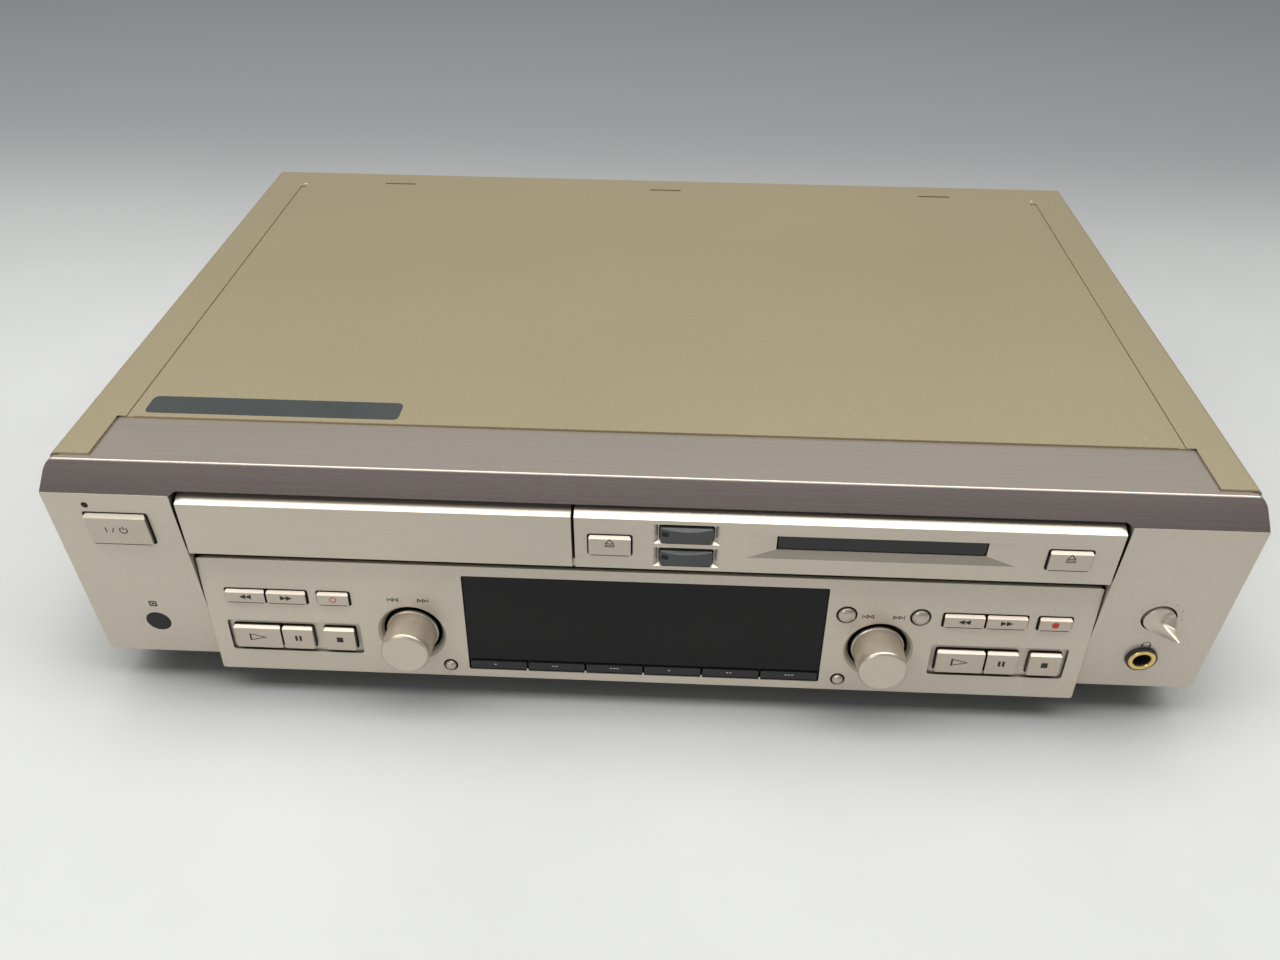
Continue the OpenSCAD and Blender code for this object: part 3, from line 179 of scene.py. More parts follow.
class Shader:
    """A material with a Principled shader, and short ways to add nodes to it."""

    def __init__(self, name, roughness, metallic=0.0):
        self.material = bpy.data.materials.new(name)
        self.material.use_nodes = True
        self.nodes = self.material.node_tree.nodes
        self.links = self.material.node_tree.links
        self.base = self.nodes["Principled BSDF"]
        self.base.inputs["Roughness"].default_value = roughness
        self.base.inputs["Metallic"].default_value = metallic
        self.place = self.nodes.new("ShaderNodeTexCoord")

    def stretched(self, scale):
        """The object's own coordinates in metres, times scale."""
        node = self.nodes.new("ShaderNodeMapping")
        node.inputs["Scale"].default_value = scale
        self.links.new(self.place.outputs["Object"], node.inputs["Vector"])
        return node.outputs["Vector"]

    def noise(self, scale, detail=3.0, roughness=0.5):
        node = self.nodes.new("ShaderNodeTexNoise")
        node.inputs["Scale"].default_value = 1.0
        node.inputs["Detail"].default_value = detail
        node.inputs["Roughness"].default_value = roughness
        self.links.new(self.stretched(scale), node.inputs["Vector"])
        return node.outputs["Fac"]

    def axis(self, name):
        """One of the object's own coordinates, in metres."""
        node = self.nodes.new("ShaderNodeSeparateXYZ")
        self.links.new(self.place.outputs["Object"], node.inputs["Vector"])
        return node.outputs[name]

    def spread(self, value, start, end, low=0.0, high=1.0, kind="LINEAR"):
        """A value that goes from low to high as another goes from start to end."""
        node = self.nodes.new("ShaderNodeMapRange")
        node.interpolation_type = kind
        for name, number in (("From Min", start), ("From Max", end), ("To Min", low), ("To Max", high)):
            node.inputs[name].default_value = number
        self.links.new(value, node.inputs["Value"])
        return node.outputs["Result"]

    def ramp(self, value, stops):
        node = self.nodes.new("ShaderNodeValToRGB")
        element = node.color_ramp.elements
        while len(element) < len(stops):
            element.new(0.5)
        for item, (place, colour) in zip(element, stops):
            item.position = place
            item.color = colour
        self.links.new(value, node.inputs["Fac"])
        return node.outputs["Color"]

    def mix(self, share, one, two, blend="MIX"):
        node = self.nodes.new("ShaderNodeMix")
        node.data_type = "RGBA"
        node.blend_type = blend
        for socket, value in ((node.inputs[0], share), (node.inputs[6], one), (node.inputs[7], two)):
            if isinstance(value, (float, tuple)):
                socket.default_value = value
            else:
                self.links.new(value, socket)
        return node.outputs[2]

    def colour(self, value):
        self.links.new(value, self.base.inputs["Base Color"])

    def roughness(self, value, low, high):
        self.links.new(self.spread(value, 0.0, 1.0, low, high), self.base.inputs["Roughness"])

    def painted_gap_shade(self, value, reach, low=0.30, high=0.80, dark=0.03):
        """A colour with painted shade, which turns dark in gaps narrower than about reach, where low and
        high are openness.
        """
        node = self.nodes.new("ShaderNodeAmbientOcclusion")
        node.samples = GAP_SAMPLES
        node.inputs["Distance"].default_value = reach
        level = self.ramp(node.outputs["AO"], [(low, (dark, dark, dark, 1)), (high, (1, 1, 1, 1))])
        return self.mix(1.0, value, level, "MULTIPLY")

    def bump(self, height, strength, distance=FINE_RELIEF):
        node = self.nodes.new("ShaderNodeBump")
        node.inputs["Strength"].default_value = strength
        node.inputs["Distance"].default_value = distance
        self.links.new(height, node.inputs["Height"])
        self.links.new(node.outputs["Normal"], self.base.inputs["Normal"])


def even(scale):
    """The same texture scale along all three axes."""
    return (scale, scale, scale)


def shade(colour, factor):
    return tuple(component * factor for component in colour[:3]) + (1.0,)


def about(colour, share):
    """A ramp's two stops: a colour darker by a share at its low end and brighter at its high end."""
    return [(0.3, shade(colour, 1 - share)), (0.7, shade(colour, 1 + share))]


WHITE = (1.0, 1.0, 1.0, 1.0)


def streaks_about(share):
    """The stops of a steeper ramp, for streaks and specks that multiply a colour."""
    return [(0.35, shade(WHITE, 1 - share)), (0.65, shade(WHITE, 1 + share))]


def paint(name, colour, roughness, metallic, speck, relief, gap):
    """Metallic paint: fine specks, a faint cloud of tone, a slight orange peel and painted shade in its
    gaps.
    """
    s = Shader(name, roughness, metallic)
    fine = s.noise(even(900.0), 2.0, 0.7)
    wide = s.noise(even(14.0), 3.0, 0.55)
    tone = s.ramp(wide, about(colour, 0.03))
    specks = s.ramp(fine, streaks_about(speck))
    # painted shade: the colour turns dark in narrow gaps
    s.colour(s.painted_gap_shade(s.mix(1.0, tone, specks, "MULTIPLY"), *gap))
    s.roughness(fine, roughness - 0.04, roughness + 0.05)
    s.bump(fine, relief)
    return s.material


def brushed(name, colour, roughness, across, streak=0.10, metallic=1.0, relief=0.18, gap=2.6):
    """Metal with fine lines, and painted shade in gaps narrower than about gap millimetres."""
    s = Shader(name, roughness, metallic)
    lines = s.noise(across, 3.0, 0.65)
    wide = s.noise(even(9.0), 3.0, 0.5)
    tone = s.ramp(wide, about(colour, 0.05))
    streaks = s.ramp(lines, streaks_about(streak))
    total = s.mix(1.0, tone, streaks, "MULTIPLY")
    # painted shade in narrow gaps, left out when gap is None
    s.colour(s.painted_gap_shade(total, gap * MM) if gap else total)
    s.roughness(lines, roughness - 0.4 * relief, roughness + 0.5 * relief)
    s.bump(lines, relief)
    return s.material


def moulded(name, colour, roughness, grain=1400.0, bump=0.25):
    """Moulded plastic or rubber with a fine erosion grain."""
    s = Shader(name, roughness)
    fine = s.noise(even(grain), 3.0, 0.6)
    wide = s.noise(even(30.0), 2.0, 0.5)
    s.colour(s.ramp(wide, about(colour, 0.1)))
    s.roughness(fine, roughness - 0.06, roughness + 0.08)
    s.bump(fine, bump, GRAIN_RELIEF)
    return s.material


def glossy(name, colour, roughness=0.08):
    """A clear or lacquered surface with faint dust."""
    s = Shader(name, roughness)
    s.base.inputs["Specular IOR Level"].default_value = 0.25
    dust = s.noise(even(2200.0), 1.0, 0.5)
    smears = s.noise(even(25.0), 3.0, 0.6)
    tone = s.ramp(dust, [(0.74, colour), (0.80, shade(colour, 2.2))])
    s.colour(tone)
    s.roughness(smears, roughness, roughness + 0.10)
    return s.material


def ink(name, colour):
    """Screen printing ink, a little uneven."""
    s = Shader(name, 0.5)
    wide = s.noise(even(700.0), 2.0, 0.6)
    s.colour(s.ramp(wide, about(colour, 0.15)))
    return s.material


def zinc(name, colour):
    """Zinc plated sheet steel with a faint spangle."""
    s = Shader(name, 0.42, 0.85)
    cells = s.nodes.new("ShaderNodeTexVoronoi")
    cells.inputs["Scale"].default_value = 1.0
    s.links.new(s.stretched(even(180.0)), cells.inputs["Vector"])
    grey = s.nodes.new("ShaderNodeRGBToBW")
    s.links.new(cells.outputs["Color"], grey.inputs["Color"])
    s.colour(s.ramp(grey.outputs["Val"], [(0.0, shade(colour, 0.86)), (1.0, shade(colour, 1.1))]))
    s.roughness(grey.outputs["Val"], 0.34, 0.52)
    return s.material


def board_green(name):
    """Green solder mask with pale lines of copper under it, and painted shade in gaps narrower than about
    12 mm.
    """
    s = Shader(name, 0.35)
    tracks = s.noise((120.0, 900.0, 120.0), 1.0, 0.3)
    # painted shade: the green darkens between the parts on the board
    s.colour(s.painted_gap_shade(s.ramp(tracks, [(0.48, linear(30, 62, 36)), (0.52, linear(46, 86, 50))]), 12 * MM))
    return s.material


def cover_paint():
    """The cover's khaki champagne paint: fine metallic grain, a soft drift of tone, light dust and painted
    shade in narrow gaps.
    """
    colour = linear(181, 169, 138)
    s = Shader("cover_paint", 0.46, 0.5)
    grain = s.noise(even(1300.0), 2.0, 0.7)
    drift = s.noise((5.0, 7.0, 5.0), 3.0, 0.5)
    dust = s.noise(even(620.0), 1.0, 0.5)
    tone = s.ramp(drift, about(colour, 0.04))
    specks = s.ramp(grain, about(WHITE, 0.07))
    mask = s.ramp(dust, [(0.765, (0, 0, 0, 1)), (0.80, (0.35, 0.35, 0.35, 1))])
    # painted shade: the paint turns dark in gaps narrower than about 4 mm
    s.colour(s.painted_gap_shade(s.mix(mask, s.mix(1.0, tone, specks, "MULTIPLY"), linear(214, 208, 190)),
                      4.0 * MM, 0.35, 0.72))
    s.roughness(grain, 0.42, 0.54)
    s.bump(grain, 0.15, GRAIN_RELIEF)
    return s.material


def cap_metal():
    """Hairline brushed metal, with a darker sloping band under its top edge, whose darker colour is a
    painted reflection of the dark room.
    """
    s = Shader("cap_metal", 0.28, 0.75)
    lines = s.noise((9.0, 2600.0, 2600.0), 3.0, 0.65)
    wide = s.noise((4.0, 30.0, 30.0), 3.0, 0.5)
    # painted reflection: the same metal is given a dark colour on the band below its top, for the dark room
    # it mirrors
    level = s.spread(s.axis("Z"), CAP_TOP - 0.5 * MM, CAP_TOP - 0.2 * MM)
    tone = s.mix(level, linear(95, 87, 85), linear(204, 193, 181))
    streaks = s.ramp(lines, streaks_about(0.03))
    drift = s.ramp(wide, about(WHITE, 0.04))
    s.colour(s.mix(1.0, s.mix(1.0, tone, streaks, "MULTIPLY"), drift, "MULTIPLY"))
    s.roughness(lines, 0.24, 0.32)
    s.bump(lines, 0.06)
    return s.material


M = {
    "cover": cover_paint(),
    "panel": paint("panel_paint", linear(200, 190, 175), 0.36, 0.45, 0.03, 0.12, (3.4 * MM, 0.32, 0.75)),
    "row": brushed("row_metal", linear(194, 184, 170), 0.32, (35.0, 1500.0, 1500.0), 0.025, 0.75, gap=1.1),
    "key": paint("key_paint", linear(190, 179, 165), 0.30, 0.60, 0.03, 0.015, (3.5 * MM, 0.35, 0.90)),
    "knob": brushed("knob_metal", linear(200, 189, 174), 0.34, (900.0, 90.0, 900.0), 0.02, 0.7, 0.02, None),
    "cap": cap_metal(),
    "window": glossy("smoked_window", linear(8, 8, 9), 0.09),
    "dark_key": moulded("dark_key", linear(22, 23, 25), 0.36, 1400.0, 0.15),
    "slate": moulded("slate_key", linear(62, 66, 67), 0.30, 1600.0, 0.12),
    "flap": moulded("flap_plastic", linear(17, 20, 18), 0.38, 1600.0, 0.12),
    "lens": glossy("dark_lens", linear(24, 18, 20), 0.08),
    "gold": brushed("gold_plate", linear(222, 192, 122), 0.26, even(300.0), 0.04, 0.9),
    "black": moulded("black_plastic", linear(30, 30, 32), 0.48),
    "rubber": moulded("foot_rubber", linear(44, 44, 46), 0.62),
    "zinc": zinc("zinc_steel", linear(178, 180, 182)),
    "steel": brushed("bright_steel", linear(188, 188, 190), 0.28, even(500.0), 0.05, 1.0),
    "screw": brushed("black_steel", linear(60, 60, 62), 0.36, even(800.0), 0.05, 0.8),
    "acetal": moulded("acetal", linear(226, 222, 206), 0.4),
    "core": moulded("core_varnish", linear(96, 84, 76), 0.4, 500.0),
    "board": board_green("board_green"),
    "black_ink": ink("black_ink", linear(20, 19, 19)),
    "red_ink": ink("red_ink", linear(190, 40, 48)),
    "pale_ink": ink("pale_ink", linear(196, 196, 190)),
    "white": moulded("white_plastic", linear(222, 222, 218), 0.38),
    "red": moulded("red_plastic", linear(178, 34, 36), 0.38),
    "label": moulded("label_film", linear(66, 70, 70), 0.42, 900.0, 0.1),
}

# ---- the solids' finish ---------------------------------------------------------------------

# Each node's material and the radius of its edges in millimetres
FINISH = {
    "top_cover": ("cover", 0.25), "rear_panel": ("cover", 0.15), "front_cap": ("cap", 0.45),
    "front_panel": ("panel", 0.25), "control_plate": ("panel", 0.14), "md_panel": ("row", 0.14),
    "tray_door": ("row", 0.2), "chassis": ("zinc", 0.1), "feet": ("rubber", 0.3),
    "screws": ("screw", 0.1), "display_window": ("window", 0.2), "front_lenses": ("lens", 0.15),
    "phones_jack": ("black", 0.12), "line_sockets": ("black", 0.15), "mains_bushing": ("black", 0.3),
    "transformer": ("core", 0.4), "circuit_boards": ("board", 0.0), "loader_frame": ("black", 0.2),
    "lift_base": ("zinc", 0.1), "spindle": ("steel", 0.15), "pickup": ("black", 0.2),
    "clamper": ("black", 0.3), "cd_tray": ("black", 0.4), "drive_gear": ("acetal", 0.08),
    "loading_motor": ("steel", 0.3), "md_frame": ("zinc", 0.1), "md_flap": ("flap", 0.25),
    "md_holder": ("zinc", 0.1), "power_key": ("key", 0.3), "phone_level_knob": ("knob", 0.3),
    "open_close_key": ("key", 0.22), "eject_key": ("key", 0.22), "sync_normal_key": ("slate", 0.25),
    "sync_high_key": ("slate", 0.25), "menu_key": ("key", 0.5), "yes_key": ("key", 0.5),
    "cd_clear_key": ("key", 0.5), "md_clear_key": ("key", 0.5),
}


def finish_of(name):
    if name in FINISH:
        return FINISH[name]
    if name.startswith("display_key"):
        return ("dark_key", 0.0)
    if "jog" in name:
        return ("knob" if name.endswith("knob") else "black", 0.3)
    return ("key", 0.22)


def crease(solid, degrees):
    """Keeps edges sharper than some degrees crisp, such as those of the shallow recess round the slot."""
    group = bpy.data.node_groups.new("crease", "GeometryNodeTree")
    group.interface.new_socket("Geometry", in_out="INPUT", socket_type="NodeSocketGeometry")
    group.interface.new_socket("Geometry", in_out="OUTPUT", socket_type="NodeSocketGeometry")
    source, target = group.nodes.new("NodeGroupInput"), group.nodes.new("NodeGroupOutput")
    angle = group.nodes.new("GeometryNodeInputMeshEdgeAngle")
    sharp = group.nodes.new("FunctionNodeCompare")
    sharp.operation = "GREATER_THAN"
    sharp.inputs["B"].default_value = math.radians(degrees)
    setter = group.nodes.new("GeometryNodeSetShadeSmooth")
    setter.domain = "EDGE"
    setter.inputs["Shade Smooth"].default_value = False
    group.links.new(angle.outputs["Unsigned Angle"], sharp.inputs["A"])
    group.links.new(source.outputs[0], setter.inputs["Geometry"])
    group.links.new(sharp.outputs[0], setter.inputs["Selection"])
    group.links.new(setter.outputs[0], target.inputs[0])
    solid.modifiers.new("crease", "NODES").node_group = group


SAME_POINT = 0.002 * MM      # corners this close are joined
CREASE = 4.5                 # degrees, for the shallow facets of the minidisc panel
FLAT = math.radians(0.6)     # faces this close to one plane are joined
SHARP = math.radians(32)     # edges this sharp get a small radius


def dress(name, solid):
    """Gives a solid its material, and its edges a small radius."""
    material, radius = finish_of(name)
    for place in solid.material_slots:
        place.material = M[material]
    mesh = solid.data
    if "custom_normal" in mesh.attributes:
        mesh.attributes.remove(mesh.attributes["custom_normal"])
    mesh.polygons.foreach_set("use_smooth", [True] * len(mesh.polygons))
    weld = solid.modifiers.new("weld", "WELD")
    weld.merge_threshold = SAME_POINT
    flat = solid.modifiers.new("flat", "DECIMATE")
    flat.decimate_type = "DISSOLVE"
    flat.angle_limit = FLAT
    if name == "md_panel":
        crease(solid, CREASE)
    if radius:
        edge = solid.modifiers.new("edge", "BEVEL")
        edge.width = radius * MM
        edge.segments = 3
        edge.limit_method = "ANGLE"
        edge.angle_limit = SHARP
        edge.harden_normals = True
    else:
        split = solid.modifiers.new("split", "EDGE_SPLIT")
        split.split_angle = SHARP


for node_name, node_solid in NODES.items():
    dress(node_name, node_solid)

# ---- mesh helpers ---------------------------------------------------------------------------

SAME_CORNER = 0.001 * MM     # corners of two strips this close are joined
SUNK = 0.03                  # millimetres that a printed mark reaches into its face
TURNED_SHARP = math.radians(38)


def piece(name, verts, faces, material, body, smooth=False):
    """A closed mesh that moves with a body."""
    mesh = bpy.data.meshes.new(name)
    mesh.from_pydata([tuple(v) for v in verts], [], faces)
    mesh.update()
    mesh.polygons.foreach_set("use_smooth", [smooth] * len(mesh.polygons))
    made = bpy.data.objects.new(name, mesh)
    bpy.context.scene.collection.objects.link(made)
    made.data.materials.append(M[material])
    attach(made, body)
    return made


def face_out(made):
    """Joins strips that share a wall, without the wall, and turns every face of a mesh outwards."""
    work = bmesh.new()
    work.from_mesh(made.data)
    bmesh.ops.remove_doubles(work, verts=work.verts, dist=SAME_CORNER)
    walls = [f for f in work.faces if all(len(edge.link_faces) > 2 for edge in f.edges)]
    bmesh.ops.delete(work, geom=walls, context="FACES_ONLY")
    bmesh.ops.recalc_face_normals(work, faces=work.faces)
    work.to_mesh(made.data)
    work.free()


def slab(face, outlines, low, high):
    """Flat pieces with the given outlines, from n = low to n = high on a face: verts and faces."""
    verts, faces = [], []
    for outline in outlines:
        first, count = len(verts), len(outline)
        for n in (low, high):
            verts += [face.at(x, v, n) for x, v in outline]
        faces.append(list(range(first, first + count))[::-1])
        faces.append(list(range(first + count, first + 2 * count)))
        for i in range(count):
            j = (i + 1) % count
            faces.append([first + i, first + j, first + count + j, first + count + i])
    return verts, faces


def printed(name, face, outlines, n, material, body, thick=0.03):
    """A printed mark: flat shapes on a face, whose surface is at n, and thick millimetres out of it."""
    made = piece(name, *slab(face, outlines, n - SUNK, n + thick), material, body)
    face_out(made)
    return made


def lathe(name, face, x, v, profile, material, body, turns=96):
    """A turned piece about a face's normal. profile is a list of (radius, n), from the axis to the axis.

    An n may be a function of the place about the axis, which makes a front that isn't turned.
    """
    verts, faces, rings = [], [], []
    for radius, n in profile:
        count = turns if radius else 1
        rings.append(list(range(len(verts), len(verts) + count)))
        for i in range(count):
            angle = 2 * math.pi * i / turns
            dx, dv = radius * math.cos(angle), radius * math.sin(angle)
            verts.append(face.at(x + dx, v + dv, n(dx, dv) if callable(n) else n))
    for one, two in zip(rings, rings[1:]):
        for i in range(turns):
            j = (i + 1) % turns
            if len(one) == 1:
                faces.append([one[0], two[i], two[j]])
            elif len(two) == 1:
                faces.append([one[i], two[0], one[j]])
            else:
                faces.append([one[i], two[i], two[j], one[j]])
    made = piece(name, verts, faces, material, body, smooth=True)
    face_out(made)
    made.data.set_sharp_from_angle(angle=TURNED_SHARP)
    return made


def closed(profile):
    """A turned ring's profile, which ends where it starts."""
    return profile + profile[:1]


# Outlines of symbols, in millimetres about a middle point


def rectangle(x, v, w, h):
    return [(x - w / 2, v - h / 2), (x + w / 2, v - h / 2), (x + w / 2, v + h / 2), (x - w / 2, v + h / 2)]


def rounded(x, v, w, h, r, steps=6):
    """A rectangle with round corners."""
    outline = []
    for sx, sv, start in ((1, -1, -90), (1, 1, 0), (-1, 1, 90), (-1, -1, 180)):
        for k in range(steps + 1):
            a = math.radians(start + 90 * k / steps)
            outline.append((x + sx * (w / 2 - r) + r * math.cos(a), v + sv * (h / 2 - r) + r * math.sin(a)))
    return outline


def triangle(x, v, w, h, way):
    """A triangle that points right (1) or left (-1)."""
    return [(x - way * w / 2, v - h / 2), (x + way * w / 2, v), (x - way * w / 2, v + h / 2)]


def ring(outer, inner):
    """The strips between two outlines with as many corners."""
    count = len(outer)
    return [[outer[i], outer[(i + 1) % count], inner[(i + 1) % count], inner[i]] for i in range(count)]


def arc(x, v, radius, line, start, end, steps=16):
    """A curved line as short strips, from one angle to another in degrees."""
    def point(reach, angle):
        return (x + reach * math.cos(angle), v + reach * math.sin(angle))

    near, far = radius - line / 2, radius + line / 2
    strips = []
    for i in range(steps):
        a, b = (math.radians(start + (end - start) * k / steps) for k in (i, i + 1))
        strips.append([point(near, a), point(far, a), point(far, b), point(near, b)])
    return strips


def disc(x, v, radius, steps=32):
    return [(x + radius * math.cos(2 * math.pi * i / steps), v + radius * math.sin(2 * math.pi * i / steps))
            for i in range(steps)]


def shrink(outline, factor):
    """An outline drawn in towards its middle."""
    x = sum(p[0] for p in outline) / len(outline)
    v = sum(p[1] for p in outline) / len(outline)
    return [(x + (px - x) * factor, v + (pv - v) * factor) for px, pv in outline]


def open_triangle(x, v, w, h, way, factor):
    outer = triangle(x, v, w, h, way)
    return ring(outer, shrink(outer, factor))


# ---- symbols --------------------------------------------------------------------------------


def transport_symbols(side):
    """The two key groups' own symbols."""
    def mark(key, outlines, v, material="black_ink"):
        name = f"{side}_{key}_key"
        x = middle_x(name)
        moved = [[(px + x, pv + v) for px, pv in outline] for outline in outlines]
        printed(f"{side}_{key}_symbol", PLATE, moved, KEY_OUT, material, name)

    mark("rewind", [triangle(-1.1, 0, 2.4, 2.2, -1), triangle(1.1, 0, 2.4, 2.2, -1)], SMALL_ROW)
    mark("forward", [triangle(-1.1, 0, 2.4, 2.2, 1), triangle(1.1, 0, 2.4, 2.2, 1)], SMALL_ROW)
    mark("play", open_triangle(0, 0, 6.8, 3.5, 1, 0.72), LARGE_ROW)
    mark("pause", [rectangle(-0.8, 0, 0.95, 2.5), rectangle(0.8, 0, 0.95, 2.5)], LARGE_ROW)
    mark("stop", [rectangle(0, 0, 2.5, 2.4)], LARGE_ROW)
    if side == "md":
        mark("record", [disc(0, 0, 1.35)], SMALL_ROW, "red_ink")
    else:
        mark("record", ring(disc(0, 0, 1.35), disc(0, 0, 1.0)), SMALL_ROW, "red_ink")


def eject_symbol(name, key):
    """An open triangle over an open bar."""
    x, v = middle_x(key), PANEL_ROW + 1.2
    peak = [(x - 1.8, v), (x + 1.8, v), (x, v + 2.3)]
    bar = rectangle(x, v - 0.9, 3.4, 1.0)
    printed(name, ROW, ring(peak, shrink(peak, 0.62)) + ring(bar, rectangle(x, v - 0.9, 2.8, 0.4)),
            KEY_OUT, "black_ink", key)


def jog_symbols(side):
    """Open double arrows to both sides over a jog knob."""
    x, v = middle_x(side + "_jog_knob"), ARROW_ROW
    shapes = []
    for way in (-1, 1):
        for step in (4.6, 6.6):
            shapes += open_triangle(x + way * step, v, 2.0, 1.9, way, 0.45)
        shapes.append(rectangle(x + way * 7.8, v, 0.28, 1.9))
    printed(side + "_jog_arrows", PLATE, shapes, 0.0, "black_ink", "case")


def power_symbol():
    """A stroke, a slash and the sign for standby."""
    x, v = middle_x("power_key"), POWER_ROW + 0.2
    slash = [(x - 2.5, v - 1.1), (x - 2.1, v - 1.1), (x - 1.1, v + 1.1), (x - 1.5, v + 1.1)]
    shapes = [rectangle(x - 4.4, v, 0.4, 2.3), slash, rectangle(x + 2.0, v + 0.9, 0.4, 1.5)]
    shapes += arc(x + 2.0, v, 1.35, 0.4, 125, 415)
    printed("power_symbol", WING, shapes, POWER_OUT, "black_ink", "power_key")


def wing_marks():
    """The level knob's dots, a pair of ear cups over the phones socket, the remote window's mark."""
    x, v = middle_x("phone_level_knob"), LEVEL_ROW
    reach, dots = 8.6, []
    for degrees in range(-60, 241, 30):
        a = math.radians(degrees)
        size = 0.16 + 0.11 * (240 - degrees) / 300
        dots.append(disc(x + reach * math.cos(a), v + reach * math.sin(a), size, 12))
    printed("level_dots", WING, dots, 0.0, "black_ink", "case")
    x, v = middle_x("phones_jack"), CUPS_ROW
    cups = arc(x, v - 0.6, 1.5, 0.25, 0, 180, 20)
    cups += [rectangle(x - 1.45, v - 1.1, 0.7, 1.3), rectangle(x + 1.45, v - 1.1, 0.7, 1.3)]
    printed("phones_mark", WING, cups, 0.0, "black_ink", "case")
    x, v = REMOTE_X, REMOTE_ROW
    mark = rectangle(x, v, 3.0, 2.8)
    printed("remote_mark", WING, ring(mark, shrink(mark, 0.62)) + [rectangle(x, v, 1.1, 1.0)],
            0.0, "black_ink", "case")


for deck_side in ("cd", "md"):
    transport_symbols(deck_side)
    jog_symbols(deck_side)
eject_symbol("open_close_symbol", "open_close_key")
eject_symbol("eject_symbol", "eject_key")
power_symbol()
wing_marks()

# ---- knobs ----------------------------------------------------------------------------------

JOG_OUT = 12.5               # how far a jog knob's front stands out of the plate


def jog_knob(side):
    """A turned knob with a flange, a softly tapered grip, a bright rim and a slightly dished front."""
    node = side + "_jog_knob"
    shaft = [(0, -14.4), (2.9, -14.4), (2.9, -2.2)]
    flange = [(10.0, -2.2), (10.1, -2.0), (10.1, -1.3), (9.9, -1.05), (9.66, -0.95)]
    grip = [(9.56, -0.8), (9.45, 4.0), (9.3, 8.0), (9.2, JOG_OUT - 1.25)]
    rim = [(9.05, JOG_OUT - 0.8), (8.75, JOG_OUT - 0.4), (8.35, JOG_OUT - 0.12), (7.9, JOG_OUT)]
    front = [(7.6, JOG_OUT - 0.03), (5.0, JOG_OUT - 0.14), (0, JOG_OUT - 0.2)]
    profile = shaft + flange + grip + rim + front
    knob = lathe(node + "_turned", PLATE, middle_x(node), JOG_ROW, profile, "knob", node)
    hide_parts(node)


def curve_point(ends, bend, t):
    """A point of the curved line between two ends that one bend pulls aside."""
    one, two = ends
    return tuple((1 - t) ** 2 * p + 2 * t * (1 - t) * q + t * t * r for p, q, r in zip(one, bend, two))


def level_knob():
    """A round knob whose front rises to a tip near its lower right rim.

    A curved crest runs up to the tip, and the front is scooped out on the crest's right side.
    """
    node = "phone_level_knob"
    radius, low, tip, steps = 5.7, 0.9, 9.8, 60
    ramp_reach, ramp_power = 8.4, 1.6
    scoop_depth, scoop_edge = 0.62, 1.5
    ends, bend = ((3.6, 4.2), (4.9, -2.7)), (-5.0, 0.2)
    crest = [curve_point(ends, bend, k / steps) for k in range(steps + 1)]

    def height(x, v):
        ramp = max(0.0, 1 - math.hypot(x - ends[1][0], v - ends[1][1]) / ramp_reach) ** ramp_power
        near = min(range(1, steps + 1), key=lambda k: math.hypot(x - crest[k][0], v - crest[k][1]))
        (ax, av), (bx, bv) = crest[near - 1], crest[near]
        away = min(1.0, math.hypot(x - bx, v - bv) / scoop_edge)
        scooped = (bx - ax) * (v - bv) - (bv - av) * (x - bx) > 0
        scoop = scoop_depth * away * away * (3 - 2 * away) if scooped else 0.0
        return low + (tip - low) * ramp * (1 - scoop)

    rings, rim = 38, 0.12
    profile = [(0, height)] + [((radius - rim) * k / rings, height) for k in range(1, rings + 1)]
    profile += [(radius, lambda x, v: height(x, v) - rim), (radius, -1.0), (0, -1.0)]
    knob = lathe(node + "_bladed", WING, middle_x(node), LEVEL_ROW, profile, "knob", node, 144)
    shaft_profile = [(0, -22), (2.9, -22), (2.9, -0.9), (0, -0.9)]
    shaft = lathe(node + "_shaft", WING, middle_x(node), LEVEL_ROW, shaft_profile, "steel", node, 32)
    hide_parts(node)


# Each round key's node, radius and row
ROUND_KEYS = [("cd_clear_key", CLEAR_R, CLEAR_ROW), ("md_clear_key", CLEAR_R, CLEAR_ROW),
              ("menu_key", ROUND_R, ROUND_ROW), ("yes_key", ROUND_R, ROUND_ROW)]


def domed_key(node, radius, row):
    """A small round key with a domed front."""
    top = KEY_OUT + 0.25
    profile = [(0, -3.8), (radius, -3.8), (radius, 0.25), (0.955 * radius, 0.6), (0.84 * radius, 0.9),
               (0.64 * radius, top - 0.18), (0.36 * radius, top - 0.05), (0, top)]
    key = lathe(node + "_domed", PLATE, middle_x(node), row, profile, "key", node, 64)
    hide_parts(node)


for deck_side in ("cd", "md"):
    jog_knob(deck_side)
level_knob()
for key_name, key_radius, key_row in ROUND_KEYS:
    domed_key(key_name, key_radius, key_row)

# ---- small parts on the front, the cover and the back ---------------------------------------


def jack_ring():
    """The phones socket's gold ring, set into its dark nut."""
    x, v = middle_x("phones_jack"), JACK_ROW
    profile = [(3.35, 0.9), (3.35, 1.55), (3.55, 1.8), (4.9, 1.8), (5.1, 1.6), (5.1, 0.9)]
    gold = lathe("jack_gold_ring", WING, x, v, closed(profile), "gold", "case", 64)


def display_marks():
    """Plain strokes on the six keys under the window, and pale ticks on the plate between the keys."""
    middles = [middle_x(f"display_key_{k}") for k in range(1, 7)]
    for i, x in enumerate(middles):
        name = f"display_key_{i + 1}"
        marks = [rectangle(x + step, STROKE_ROW, 0.9, 0.32) for step in (-1.3, 0, 1.3)][: 1 + i % 3]
        printed(name + "_mark", PLATE, marks, -0.3, "pale_ink", name)
    ticks = [rectangle((x + after) / 2, TICK_ROW, 0.6, 1.1) for x, after in zip(middles, middles[1:])]
    printed("display_ticks", PLATE, ticks, -0.05, "pale_ink", "case")


class Bowed:
    """The front of a dubbing key, which falls back towards both ends."""

    OUT, RADIUS = 1.3, 41.4

    def __init__(self, middle):
        self.middle = middle

    def at(self, x, v, n):
        sag = self.RADIUS - math.sqrt(self.RADIUS ** 2 - (x - self.middle) ** 2)
        return ROW.at(x, v, n + self.OUT - sag)


